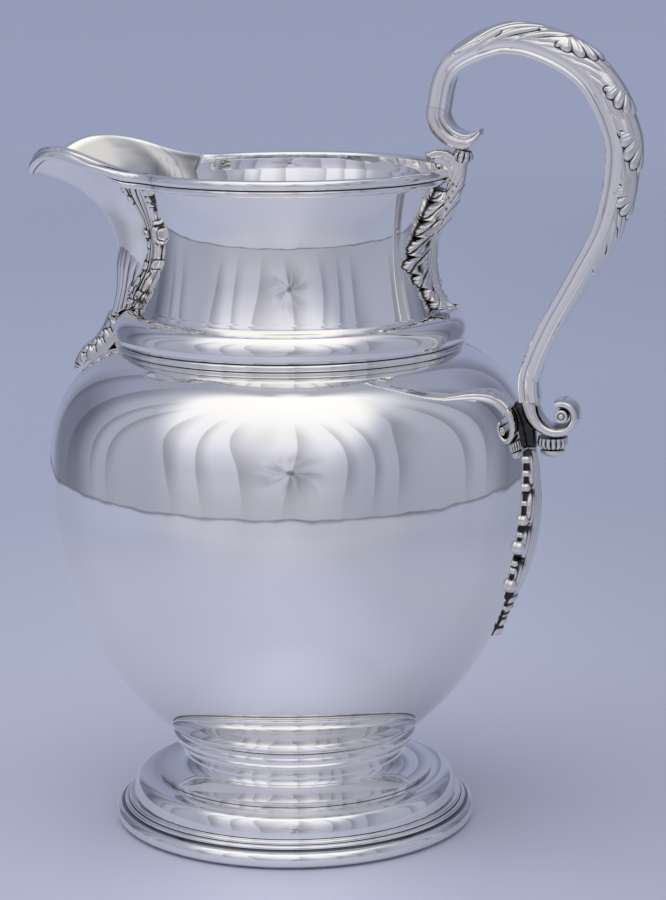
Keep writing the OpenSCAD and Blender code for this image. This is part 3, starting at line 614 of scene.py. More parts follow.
def make_lip_wire():
    """Reeds along the lip; at each end a short curve joins them to the rim wire."""
    n_lip, n_join = 180, 30
    sunk = 0.35
    last = 1 - JOIN_L / ((SPOUT_REACH - MOUTH_R * math.cos(SEAM_ANGLE)) * math.pi / 2)
    u = np.linspace(-last, last, n_lip)
    lip = spout_point(u, 1.0)
    t = np.linspace(0, 1, n_join + 1)[1:, None]
    ends = []
    for side, edge in ((-1, lip[0]), (1, lip[-1])):
        corner = spout_point(side, 1.0)
        r = MOUTH_R + SOLDER
        rim = np.array([r * math.cos(RIM_STOP), side * r * math.sin(RIM_STOP), RIM_TOP_Z])
        ends.append((1 - t) ** 2 * edge + 2 * t * (1 - t) * corner + t**2 * rim)
    line = np.concatenate([ends[0][::-1], lip, ends[1]])
    share = np.concatenate([np.full(n_join, -last), u, np.full(n_join, last)])
    away = np.concatenate([np.linspace(1, 0, n_join), np.zeros(n_lip), np.linspace(0, 1, n_join)])[:, None]
    flat = unit(np.gradient(line, axis=0) * (1, 1, 0))
    sideways = np.stack([-flat[:, 1], flat[:, 0], 0 * flat[:, 0]], -1)
    sideways = sideways * np.sign((sideways * line).sum(1, keepdims=True))
    side = np.abs(share)[:, None]
    turn = np.maximum(smooth(0.6, last, side), away)
    out = unit(mix(spout_normal(share, np.ones_like(share)), sideways, turn))
    steep = unit(spout_point(share, 1.0) - spout_point(share, 0.94))
    up = unit(mix(steep, np.array([0, 0, 1.0]), np.maximum(smooth(0.75, last, side), away)))
    size = mix(0.45, 1, smooth(0, 0.35, side))[..., None]
    # Painted shade in the reeds' grooves and under the lower reed, where it meets the spout
    lines = groove_shade_of(REEDS)
    lines[-3:] = 0.8
    rows = line[:, None] + size * (REEDS[:, :1] * out[:, None] + REEDS[:, 1:] * up[:, None])
    rows = rows - sunk * out[:, None]
    add_piece("lip_wire", *lofted(rows), ["spout_lip_wire"], "polished_silver", hollow=lines)


# Chased leaves

def fan_lobe(way, across, eye, reach, fingers=4):
    """Relief and painted shade of one lobe on a midrib: a fan with rounded fingers, beside it a curled eye;
    the shade falls under the fingers' edge, in the notches and round the eye.

    way runs along the midrib and across away from it; eye is the place of the eye, reach the length past it.
    """
    ahead = np.maximum(way - eye[0], 0) / reach
    share = across / eye[1]
    from_root = (ahead**2.4 + share**2.4) ** (1 / 2.4)
    turn = np.arctan2(ahead, share) / (np.pi / 2)
    finger = ridges(fingers * turn, 1)
    begun = smooth(0, 0.1, ahead)
    past = (from_root - 1) * mix(eye[1], reach, turn) - 1.2 * (finger**0.8 - 0.4) * begun
    grown = smooth(-0.8 * reach, 0.3 * reach, way - eye[0])
    rounded = np.sqrt(1 - np.clip(1 + past / 1.6, 0, 1) ** 2)
    notch = (1 - finger) ** 2.5 * smooth(0.3, 0.9, from_root) * begun
    fine = 0.16 * ridges(2.5 * fingers * turn, 1) * smooth(0.4, 0.8, from_root) * begun
    behind, below = eye[0] - way, across - eye[1] + 0.3
    from_eye = np.hypot(behind, below)
    hook = smooth(-0.9, 0.4, (0.8 * behind + 0.6 * below) / np.maximum(from_eye, 0.01))
    ring = bump(from_eye, 1.0, 0.34) * hook
    # Painted shadow under the fingers' free edge
    line = bump(past, 0.25, 0.2 + 0.3 * (1 - finger)) * begun
    height = grown * rounded * (1 - 0.6 * notch + fine) + 0.3 * bump(from_eye, 0, 0.6) - 0.4 * ring
    return height, np.clip(line + ring + 0.9 * notch * (past < 0.2), 0, 1)


def blade(way, across, root, tip, half_w):
    """Relief of a slim rounded blade and the painted shadow along its lower side."""
    axis = np.subtract(tip, root)
    length = math.hypot(*axis)
    share = ((way - root[0]) * axis[0] + (across - root[1]) * axis[1]) / length**2
    off = ((way - root[0]) * axis[1] - (across - root[1]) * axis[0]) / length
    t = np.clip(share, 0, 1)
    width = np.maximum(half_w * t**0.6 * np.sqrt(1 - t**8), 0.01)
    height = np.sqrt(np.clip(1 - (off / width) ** 2, 0, 1)) * (share > 0) * (share < 1)
    line = bump(-off - width, 0.1, 0.28) * smooth(0.25, 0.6, share) * (1 - smooth(1, 1.08, share))
    return height, line


def laid_on(height, painted_shade, piece, line):
    """A relief and its painted shade with one more piece laid on it."""
    return np.maximum(height, piece), np.maximum(painted_shade * (1 - smooth(0, 0.3, piece)), line)


def acanthus(k, side, leaflets, sweep, fingers=3):
    """Relief, painted shade in the creases, and notched rim of a leaf whose leaflets sweep from the midrib
    towards the tip.
    """
    count = leaflets * k - sweep * side
    at_rim = leaflets * k - sweep
    near = count - np.floor(count)
    rim = 0.72 + 0.22 * ridges(at_rim) + 0.06 * ridges(fingers * at_rim)
    grown = smooth(0.15, 0.5, side)
    veins = ridges(fingers * near)
    stem = ridges(9 * side)
    curl = bump(side, 0.84 * rim, 0.1) * np.sin(np.pi * near)
    parting = 1 - smooth(0.02, 0.13, np.minimum(near, 1 - near))
    height = mix(0.7 * stem, 0.8 * np.sin(np.pi * near) ** 0.7 + 0.4 * veins, grown) + 0.9 * curl
    painted_shade = mix(0.5 * (1 - stem) ** 2, parting + 0.5 * (1 - veins) ** 2, grown)
    return height, np.clip(painted_shade, 0, 1), rim


def rounded_knob(along, across, place, size, rise):
    """Relief of a small knob of given length and width, and painted shade round it, with a sunk eye painted
    in shade if it is wide.
    """
    off = (np.abs((along - place[0]) / size[0]) ** 3 + np.abs((across - place[1]) / size[1]) ** 3) ** (1 / 3)
    wide = min(size) > 1.25
    eye = 0.8 * wide * bump(off, 0, 0.3)
    return rise * (np.sqrt(np.clip(1 - off**2, 0, 1)) - 0.4 * eye), bump(off, 1.1, 0.2) + eye


def add_leaf(name, front, back, nodes, height, painted_shade):
    """A chased plate between two grids, its colour oxidised in the grooves of its relief and painted with
    shade at the given places.
    """
    # The plate's back is darkened half way
    back_darkening = 0.5
    grooves = np.clip(1.6 * (spread(height) - height), 0, 0.7)
    oxide_and_shade = np.clip(grooves + painted_shade, 0, 1)
    both = np.concatenate([oxide_and_shade.ravel(), np.full(oxide_and_shade.size, back_darkening)])
    add_piece(name, *plated(front, back), nodes, "cast_silver", sharp=60, hollow=both)


# Handle

# Course of the strap's middle: shares of the grip's reach and rise, then of the way to the lower end
UPPER_COURSE = [(0.25, 0.285), (0.193, 0.248), (0.126, 0.235), (0.0535, 0.271), (-0.002, 0.374),
                (-0.01, 0.508), (0.062, 0.8225), (0.328, 0.998), (0.58, 0.95), (0.8325, 0.727),
                (0.979, 0.345), (1, 0.034)]
LOWER_COURSE = [(0.868, 0.774), (0.5625, 0.55), (0.202, 0.307), (0, 0.121), (0, 0)]
CURL_SHARE = 5 / (len(UPPER_COURSE) + len(LOWER_COURSE) - 1)
LOWER_Z = BELLY_Z + LOWER_END_H
LOWER_X = float(body_r(LOWER_Z)) + LOWER_END_GAP + STRAP_T / 2
COURSE = [(MOUTH_R + x * GRIP_REACH, RIM_Z + z * GRIP_RISE) for x, z in UPPER_COURSE]
COURSE += [(mix(LOWER_X, MOUTH_R + GRIP_REACH, x), mix(LOWER_Z, RIM_Z, z)) for x, z in LOWER_COURSE]


def strap_frame(s):
    """Middle of the strap and the direction out of the handle's loop."""
    d = 0.003
    p = curve_through(COURSE, s)
    t = unit(curve_through(COURSE, np.minimum(s + d, 1)) - curve_through(COURSE, np.maximum(s - d, 0)))
    return p, np.stack([-t[..., 1], t[..., 0]], -1)


def by_strap(s, out, y):
    p, n = strap_frame(s)
    p = p + out[..., None] * n
    return np.stack([p[..., 0], y + 0 * p[..., 0], p[..., 1]], -1)


# Half section of the strap as shares of thickness and half width: hollow inner face, edge bead, plain side
STRAP_HALF = [(-0.41, 0), (-0.43, 0.45), (-0.46, 0.7), (-0.5, 0.86), (-0.45, 0.97), (-0.33, 1),
              (-0.22, 0.96), (-0.16, 0.9), (-0.08, 0.92), (0.08, 0.96), (0.26, 0.95), (0.4, 0.88),
              (0.47, 0.7), (0.5, 0.4), (0.5, 0)]
# Painted shade lines along it: beside the edge bead and near the back
BEAD_LINE, BACK_LINE = -0.17, 0.33
# Thickness of the upper scroll's tip, and how far its lower face lies from the course
TIP_T, CURL_OUT = 4.8, 0.36 * STRAP_T


def strap_half(n=56):
    return curve_through(STRAP_HALF, np.linspace(0, 1, n))


def strap_ring():
    half = strap_half()
    return np.concatenate([half, half[-2:0:-1] * (1, -1)])


def make_handle_half(name, side, node):
    half = strap_half()
    s = np.linspace(CURL_SHARE, 1, 300)[:, None]
    out = STRAP_T * half[None, :, 0] + 0 * s
    rows = by_strap(s + 0 * out, out, side * STRAP_W / 2 * half[None, :, 1])
    lines = 0.55 * bump(half[:, 0], BEAD_LINE, 0.03) + 0.5 * bump(half[:, 0], BACK_LINE, 0.025)
    add_piece(name, *lofted(rows), [node], "polished_silver", hollow=lines)


DOME_ROWS = 8


def domed_end(rows, rise):
    """Sections that close the first end of a loft with a low dome."""
    first = rows[0]
    centre = first.mean(0)
    out = unit(centre - rows[3].mean(0))
    a = np.linspace(0.06, 1, DOME_ROWS + 1)[:-1, None, None] * np.pi / 2
    return np.concatenate([centre + (first - centre) * np.sin(a) + rise * np.cos(a) * out, rows])


def make_upper_scroll():
    ring = strap_ring()
    k = np.linspace(0, 1, 190)[:, None]
    thick = mix(TIP_T, STRAP_T, smooth(0.1, 0.8, k))
    half_w = mix(0.6, 1, smooth(-0.05, 0.22, k)) * STRAP_W / 2
    inward = (thick / 2 - CURL_OUT) * (1 - smooth(0.35, 0.9, k))
    claw = mix(0.3, 1, np.sqrt(smooth(-0.02, 0.3, k)))
    slant = 0.02 * (0.5 + ring[None, :, 0]) * (1 - k)
    out = thick * claw * (0.5 + ring[None, :, 0]) - thick / 2 - inward
    rows = by_strap(CURL_SHARE * 0.9985 * k + slant, out, half_w * ring[None, :, 1])
    rows = domed_end(rows, 0.3)
    # Painted shade beside the edge bead and over the domed end, which lies in shade
    painted_shade = np.tile(0.55 * bump(ring[:, 0], BEAD_LINE, 0.03), (len(rows), 1))
    painted_shade[:DOME_ROWS] = 0.6
    add_piece("curl", *lofted(rows), ["upper_scroll"], "cast_silver", hollow=painted_shade)


def across_leaf(side):
    """Angle round the section of the back leaf, at an even pace from ridge to rim."""
    a = np.linspace(0, np.pi / 2, 400)
    way = np.hypot(np.diff(STRAP_W / 2 * np.sin(a)), np.diff(1.5 * BACK_LEAF_H * np.cos(a) ** 0.75))
    reached = np.concatenate([[0], np.cumsum(way)])
    return np.interp(side, reached / reached[-1], a)


# The back leaf covers this share of the course; its chasing is set out in millimetres, as the way along
# the strap and the way across from the ridge down to the strap
BACK_LEAF_START, BACK_LEAF_STOP = 0.375, 0.885
LEAF_HALF_W = 13.0
BLADES = [((40, 13), (57, 6.2)), ((48, 12.6), (67, 4.2)), ((59, 11.4), (76, 1.8))]
EYES = [(74, 7.9), (93.3, 8.5), (107.6, 9.6), (124, 9.9)]
LOBE_REACHES = [11.8, 9.6, 11.0, 9.0]
CUTS = [(138, 4.4), (144, 5.4), (151, 6.2), (159, 6.4), (167, 6.6)]


def strap_way(s):
    steps = np.linspace(0, 1, 1200)
    parts = np.linalg.norm(np.diff(curve_through(COURSE, steps), axis=0), axis=1)
    return np.interp(s, steps, np.concatenate([[0], np.cumsum(parts)]))


def make_handle_leaf():
    k, q, side = leaf_grid(760, 180)
    s = mix(BACK_LEAF_START, BACK_LEAF_STOP, k) + 0 * q
    bulk = BACK_LEAF_H * np.sin(np.pi * mix(0.02, 0.98, k) ** 0.75)
    low = mix(STRAP_T / 2 - 0.4, -0.16 * STRAP_T, smooth(0, 0.1, k) * smooth(0, 0.2, 1 - k))
    turn = across_leaf(side)
    y = STRAP_W / 2 * (1 - 0.09 * smooth(0.85, 1, side)) * np.sin(turn) * np.sign(q)
    out = low + (STRAP_T / 2 + bulk - 0.6 - low) * np.maximum(np.cos(turn), 0) ** 0.75
    base = by_strap(s, out, y)
    way = strap_way(s)
    across = LEAF_HALF_W * side
    chased = smooth(44, 60, way) * (1 - smooth(135, 150, way)) * (1 - smooth(0.82, 1, side))
    strands = ridges(0.42 * across + 0.15 * way, 0.7)
    height = 0.35 * strands * chased
    # Painted shade between the strands
    painted_shade = 0.85 * (1 - strands) ** 2 * chased
    for eye, reach in zip(EYES, LOBE_REACHES):
        height, painted_shade = laid_on(height, painted_shade, *fan_lobe(way, across, eye, reach))
    for root, tip in BLADES:
        height, painted_shade = laid_on(height, painted_shade, *blade(way, across, root, tip, 1.5))
    for place, middle in CUTS:
        cut, _ = blade(way, across, (place - 2, middle + 1.6), (place + 2, middle - 1.6), 0.6)
        height = height - 0.6 * cut
        painted_shade = np.maximum(painted_shade, cut)
    size = smooth(0, 0.03, k) * smooth(0, 0.08, 1 - k) * smooth(-0.1, 0.2, side)
    crown = base + grid_normals(base) * (1.1 * size * (height - 0.5))[..., None]
    inner = by_strap(s, 0 * out, 0.75 * y)
    shown = painted_shade * smooth(0, 0.05, size)
    add_leaf("back_leaf", crown, inner, ["handle_leaf"], 0.6 * height * size, shown)


def gadrooned(r, h, lobes, low, high, depth=0.16, around=14, rings=28):
    """Points and faces of a turning with lobes round it, and how deep each point lies between them."""
    t = np.linspace(0, 1, rings)[:, None]
    a = np.linspace(0, 2 * np.pi, around * lobes, endpoint=False)[None, :]
    ends = mix(low, high, t)
    swell = ends + (1 - ends) * np.sin(np.pi * t) ** 0.8
    lobe = 1 - depth * (1 - np.abs(np.sin(lobes * a / 2)) ** 0.6) * np.sin(np.pi * t) ** 0.5
    radius = r * swell * lobe
    rows = ring_points(radius, a, h * t)
    deep = np.clip((1 - lobe / lobe.max()) / depth, 0, 1) ** 1.5
    return lofted(rows), deep + 0 * radius


def curl_low_z():
    s = np.linspace(0, CURL_SHARE, 60)
    return float(by_strap(s, 0 * s + CURL_OUT, 0 * s)[:, 2].min())


KNOP_X = MOUTH_R + 0.125 * GRIP_REACH
KNOP_TOP_Z = curl_low_z() - SOLDER
BRACKET_TOP_Z = KNOP_TOP_Z - KNOP_H - SOLDER


def oxide_and_end_shade(deep):
    """Oxidised recesses between the lobes of a turning, and painted shade at its two ends where it meets the
    next part.
    """
    t = np.linspace(0, 1, len(deep))[:, None]
    return np.clip(1.6 * deep**0.7 + smooth(0.88, 0.99, t) + smooth(0.88, 0.99, 1 - t), 0, 1)


def make_knop():
    (points, faces), deep = gadrooned(KNOP_R, KNOP_H, 10, 0.62, 0.66)
    lean = math.radians(14)
    c, s = math.cos(lean), math.sin(lean)
    x, y, z = (points - (0, 0, KNOP_H / 2)).T
    leant = np.stack([x * c + z * s, y, z * c - x * s], -1)
    place = (KNOP_X, 0, BRACKET_TOP_Z + SOLDER + KNOP_H / 2)
    add_piece("knop", leant + place, faces, ["handle_knop"], "cast_silver", hollow=oxide_and_end_shade(deep))


def rounded_bar(n=40, power=0.55):
    a = np.linspace(0, 2 * np.pi, n, endpoint=False)
    c, s = np.cos(a), np.sin(a)
    return np.stack([np.sign(c) * np.abs(c) ** power, np.sign(s) * np.abs(s) ** power], -1)


def swept_bar(path, thick, half_w, ring):
    """Sections along a path in the plane of the handle, with given thickness and half width."""
    t = unit(np.gradient(path, axis=0))
    n = np.stack([-t[:, 1], t[:, 0]], -1)
    ring = np.broadcast_to(ring, (len(path), *ring.shape[-2:]))
    x = path[:, None, 0] + 0.5 * thick[:, None] * ring[..., 0] * n[:, None, 0]
    z = path[:, None, 1] + 0.5 * thick[:, None] * ring[..., 0] * n[:, None, 1]
    return lofted(np.stack([x, half_w[:, None] * ring[..., 1], z], -1))


def make_upper_bracket():
    """Fluted bar on the neck, tongue over the rim and saddle under it, through given x and heights."""
    t = np.linspace(0, 1, 70)
    top_z = BRACKET_TOP_Z + 0.8
    outside = curve_through([(60.9, top_z), (60.3, 223), (58.8, 217.5), (56, 211), (52.4, 205)], t)
    inside = curve_through([(55.6, top_z), (54.7, 222.5), (53.4, 217.5), (51, 211), (49.2, 205)], t)
    thick = np.linalg.norm(outside - inside, axis=1)
    half_w = mix(3.5, 5.5, smooth(0.1, 0.9, t))
    ring = rounded_bar(64)
    strands = ridges(1.5 * ring[None, :, 0] + 4.5 * t[:, None], 0.7)
    shown = smooth(0.1, 0.35, t)[:, None]
    fluted = ring * np.stack([1 + 0 * strands, 1 - 0.16 * shown * (1 - strands)], -1)
    over_rim = [(57.2, 223.5), (56.7, 228), (54.4, 230.6), (51, 231), (48.6, 230.2), (47, 229.6)]
    tongue = curve_through(over_rim, t)
    tongue_t = mix(3.4, 2.6, t) + 0.9 * bump(t, 0.93, 0.07)
    tongue_w = mix(3.4, 4.2, t) * np.sqrt(np.clip(1.02 - t**14, 0, 1))
    saddle = curve_through([(56, 222), (55.4, 226.6), (53.2, 228.4), (50.4, 228.6)], t)
    solids = [swept_bar((outside + inside) / 2, thick, half_w, fluted),
              swept_bar(tongue, tongue_t, tongue_w, ring),
              swept_bar(saddle, 4.6 + 0 * t, 3.2 + 0 * t, ring)]
    points, faces = joined(solids)
    # Painted shade between the flutes
    painted_shade = np.zeros(len(points))
    painted_shade[:strands.size] = (shown * (1 - strands) ** 1.5).ravel()
    add_piece("bracket", points, faces, ["upper_bracket"], "cast_silver", hollow=painted_shade)


def make_upper_leaf():
    """Leaf on the neck; its crown runs through given radii and heights, its tip turns up."""
    k, q, side = leaf_grid(420, 220)
    crown = curve_through([(56.8, 219.6), (56.6, 214), (54.2, 208), (51.6, 203), (50.4, 197), (50.5, 191),
                           (51.8, 186), (54.4, 181.6), (57.9, 179.6), (58.6, 180.4)], k)
    places = [0, 0.16, 0.34, 0.46, 0.56, 0.66, 0.8, 0.92, 1]
    half_w = spread(np.interp(k, places, [4, 10, 17, 22, 17, 11.5, 8.5, 6, 3]), 24)
    z = crown[..., 1] + 0 * q
    neck = neck_r(z) + SOLDER
    height, painted_shade, rim = acanthus(k, side, 9, 1.8)
    inside = smooth(0, 0.07, rim - side) * smooth(0, 0.035, k)
    pits = 0 * side
    for place, off in ((0.2, 0.55), (0.36, 0.42), (0.5, 0.6), (0.66, 0.4)):
        pits = np.maximum(pits, bump(k, place, 0.03) * bump(side - (k - place), off, 0.09))
    body = mix(crown[..., 0], neck + 0.6, side**1.25)
    flared = mix(crown[..., 0], neck + 3, side**2)
    r = mix(body, flared, smooth(0.8, 1, k))
    relief = 1.1 * height - 1.2 * pits
    top = mix(neck - 0.4, r + relief - 0.7, inside)
    a = q * half_w / NECK_WAIST_R
    under = np.minimum(np.where(k > 0.82, r - 1.0, neck), top - 0.1)
    # Painted shade in the pits, in the relief's creases and outside the leaf's rim
    deep = np.clip(painted_shade + pits + 0.9 * smooth(0.2, 0.8, 1 - inside), 0, 1)
    add_leaf("neck_leaf", ring_points(top, a, z), ring_points(under, a, z), ["upper_leaf"], relief, deep)


# Lower end of the handle

SCROLL_MID = np.array([LOWER_X + VOLUTE_OUT, LOWER_Z - VOLUTE_DOWN])
SCROLL_FROM = math.degrees(math.atan2(VOLUTE_DOWN, -VOLUTE_OUT))
SCROLL_TO = 478
SCROLL_START_R = math.hypot(VOLUTE_OUT, VOLUTE_DOWN)
EYE_R = 0.2 * SCROLL_START_R
SCROLL_T = 0.44 * STRAP_T
SCROLL_END_R = EYE_R + SCROLL_T / 2 + 2 * SOLDER
SCROLL_END_W = 0.9 * STRAP_W


def scroll_fade(a):
    return np.clip((SCROLL_TO - a) / (SCROLL_TO - SCROLL_FROM), 0, 1) ** 4


def scroll_outside(a):
    fade = scroll_fade(a)
    return mix(SCROLL_END_R, SCROLL_START_R, fade) + mix(SCROLL_T, STRAP_T, fade) / 2


def make_lower_scroll():
    ring = rounded_bar(56, power=0.72) / 2
    k = np.linspace(0, 1, 260)[:, None]
    a = mix(SCROLL_FROM + 0.6, SCROLL_TO, k)
    fade = scroll_fade(a)
    r = mix(SCROLL_END_R, SCROLL_START_R, fade) + mix(SCROLL_T, STRAP_T, fade) * ring[None, :, 0]
    y = mix(STRAP_W, SCROLL_END_W, k) * ring[None, :, 1]
    turn = np.radians(a)
    rows = np.stack([SCROLL_MID[0] + r * np.cos(turn), y, SCROLL_MID[1] + r * np.sin(turn)], -1)
    # Painted shade along the coil's inner edge, facing the eye
    inner_edge_shade = smooth(0.3, 0.46, -ring[None, :, 0]) * smooth(0.08, 0.3, k)
    add_piece("volute", *lofted(rows), ["lower_scroll"], "cast_silver", hollow=0.85 * inner_edge_shade)


def across_handle(points, place):
    """Turns a piece made along Z so that it lies across the handle."""
    x, y, z = points.T
    return np.stack([x + place[0], z, y + place[1]], -1)


def make_scroll_eye():
    face_y = SCROLL_END_W / 2 - 0.6
    boss = arc((0, face_y), 1.0, 1.0, 90, 0, 14)
    bead = arc((1.7, face_y), 0.55, 0.7, 180, 0, 18)
    half = np.concatenate([boss, bead, [(EYE_R, face_y - 0.8)]])
    outline = np.concatenate([half, half[::-1] * (1, -1)])
    points, faces = turned(outline, around=72)
    add_piece("eye_pin", across_handle(points, SCROLL_MID), faces, ["scroll_eye"], "cast_silver",
              hollow=groove_shade_of(outline))


CUP_X = SCROLL_MID[0] - 2 * CUP_R / 3
UNDER = np.radians(np.linspace(215, 290, 40))
CUP_TOP_Z = float((SCROLL_MID[1] + scroll_outside(np.degrees(UNDER)) * np.sin(UNDER)).min()) - SOLDER
CUP_Z = CUP_TOP_Z - CUP_H


def make_lower_stub():
    """Web in the corner between volute, cup and body, slimmer towards its two sides."""
    half_w = 3.0
    side_x = CUP_X - CUP_R - 2 * SOLDER
    low_z = CUP_Z + 0.3
    a = np.radians(np.linspace(222, SCROLL_FROM + 8, 24))
    reach = scroll_outside(np.degrees(a)) + 2 * SOLDER
    under = SCROLL_MID + reach[:, None] * np.stack([np.cos(a), np.sin(a)], -1)
    under = under[under[:, 0] < side_x]
    heights = np.linspace(under[-1, 1], low_z, 24)
    on_body = np.stack([body_r(heights) + SOLDER, heights], -1)
    outline = np.concatenate([[(side_x, low_z)], under, on_body])
    middle = outline.mean(0)
    rows = []
    for y in np.linspace(-half_w, half_w, 25):
        hold = math.sqrt(max(0, 1 - (y / 3.2) ** 4))
        rows.append([(x, y, z) for x, z in middle + (outline - middle) * (0.6 + 0.4 * hold)])
    # The whole web is painted near black, as the shade in the corner
    add_piece("web", *lofted(rows), ["lower_stub"], "cast_silver", hollow=0.9)


def make_lower_cup():
    (points, faces), deep = gadrooned(CUP_R, CUP_H, 16, 0.66, 0.95, depth=0.2)
    add_piece("cup", points + (CUP_X, 0, CUP_Z), faces, ["lower_cup"], "cast_silver",
              hollow=oxide_and_end_shade(deep))


def make_cup_button():
    r = 0.8 * CUP_R
    bowl = arc((0, BUTTON_H - 0.5), r, BUTTON_H - 0.5, -89, -4, 30)
    bead = arc((r - 0.25, BUTTON_H - SOLDER - 0.2), 0.3, 0.2, -80, 90, 10)
    points, faces = turned(np.concatenate([[(0, 0)], bowl, bead, [(0, BUTTON_H - SOLDER)]]), around=72)
    add_piece("button", points + (CUP_X, 0, CUP_Z - BUTTON_H), faces, ["cup_button"], "cast_silver")


DROP_TOP_Z = CUP_Z - SOLDER
# Share of the drop where its leaf ends and the stalk with its buds starts
STALK_START = 0.78


def drop_half_w(t):
    leaf = 0.5 + 0.5 * np.sin(np.pi * np.clip(t / STALK_START, 0, 1) ** 1.3 * 0.82)
    stalk = mix(0.42, 0.14, (t - STALK_START) / (1 - STALK_START)) + 0.1 * smooth(0.93, 0.99, t)
    return DROP_W / 2 * np.where(t < STALK_START, leaf, stalk)


def on_drop(t, across, lift):
    """Points over the body under the handle, from the shares down and across the drop and the height."""
    z = DROP_TOP_Z - DROP_H * t
    r = body_r(z) + SOLDER
    return ring_points(r + lift, across * drop_half_w(t) / r, z)


def make_drop_leaf():
    t, q, side = leaf_grid(400, 170)
    bloom = 0.5 + 0.5 * np.sin(2.97 * np.clip(t / STALK_START, 0, 1))
    stalk = mix(0.62, 0.5, (t - STALK_START) / (1 - STALK_START)) + 0.3 * smooth(0.93, 0.99, t)
    ridge = np.where(t < STALK_START, bloom, stalk)
    husks = 5.4
    husk = ridges(husks * t - 0.45 * (1 - side), 1)
    rim = 0.76 + 0.24 * ridges(husks * t)
    inside = smooth(0, 0.1, rim - side)
    veins = ridges(5.5 * side - 1.5 * t)
    bud_l = 0.012
    buds = sum(bump(t, place, bud_l) for place in (0.8, 0.85, 0.93))
    gaps = sum(bump(t, place, bud_l) for place in (0.775, 0.825, 0.875, 0.905, 0.955))
    leafy = 1 - smooth(0.74, 0.8, t)
    relief = (0.5 * veins + 0.7 * husk**0.6 * smooth(0.3, 0.8, side)) * leafy + 0.6 * buds
    lift = (0.4 + (DROP_T * ridge - 0.8) * (1 - side**1.6) + relief) * inside - 0.3 * (1 - inside)
    under = on_drop(t, q, np.minimum(0, lift - 0.1))
    # Painted shade between the husks, along the veins, between the buds and outside the leaf's rim
    painted_shade = ((1 - husk) ** 1.5 * smooth(0.4, 0.8, side) + 1.1 * (1 - veins) ** 1.4) * leafy + gaps
    painted_shade = painted_shade + smooth(0.2, 0.7, 1 - inside)
    add_leaf("drop", on_drop(t, q, lift), under, ["drop_leaf"], relief, painted_shade)


def berry(r):
    """A round berry round the origin, with a short stalk along Z."""
    outline = np.concatenate([[(0, -r), (0.6 * r, -r)], arc((0, 0), r, r, -50, 89, 28), [(0, r)]])
    return turned(outline, around=36)


# Berries on either side of the drop: share down it and radius
BERRIES = [(0.04, 1.4), (0.11, 1.2), (0.18, 1.5), (0.26, 1.0), (0.345, 1.9), (0.42, 1.0), (0.485, 2.4),
           (0.57, 1.1), (0.61, 1.2), (0.69, 2.4), (0.84, 0.9)]


def make_drop_berries():
    solids = []
    for t, r in BERRIES:
        reach = 1 + 0.35 * r / float(drop_half_w(np.array(t)))
        for side in (-1, 1):
            place = on_drop(np.array(t), np.array(side * reach), np.array(0.2 * r))
            out = unit(place * (1, 1, 0))
            points, faces = berry(r)
            along = np.array([-out[1], out[0], 0])
            turned_out = points[:, :1] * along + points[:, 1:2] * np.array([0, 0, 1]) + points[:, 2:] * out
            solids.append((turned_out + place, faces))
    add_piece("berries", *joined(solids), ["drop_berries"], "cast_silver")


# Mounts of the spout

# Knobs on the strip over a spout seam: share of its length, way across, half length, half width, rise
SEAM_KNOBS = [(0.03, -6.9, 1.4, 1.3, 1.6), (0.1, -7, 1.6, 1.3, 1.6), (0.165, -5.8, 1.4, 1.1, 1.5),
              (0.02, -3.8, 1.2, 1.6, 1.3), (0.03, 0, 1.4, 1.5, 1.6), (0.05, 3, 1.3, 1.2, 1.6),
              (0.1, 3.3, 1.2, 1.1, 1.5), (0.15, 3.1, 1.1, 1.0, 1.3), (0.19, 2.7, 0.9, 0.8, 1.0),
              (0.34, 2.8, 1.1, 1.0, 1.0), (0.42, 2.2, 3.0, 0.7, 1.6), (0.425, 3.6, 3.3, 0.7, 2.0),
              (0.42, 5.0, 2.8, 0.7, 1.6), (0.42, -3.6, 1.6, 1.5, 1.5),
              (0.5, -3, 1.2, 0.8, 0.8), (0.65, 2.3, 1.7, 1.0, 1.4), (0.66, -3, 1.5, 1.1, 1.2),
              (0.74, 0.6, 1.4, 1.3, 1.7), (0.79, -3.9, 1.6, 0.9, 1.1), (0.87, -5.2, 1.6, 1.3, 1.6),
              (0.89, -1.6, 1.8, 1.3, 1.8), (0.92, 1.6, 1.6, 1.2, 1.4), (0.96, -3.8, 1.2, 1.6, 1.4)]


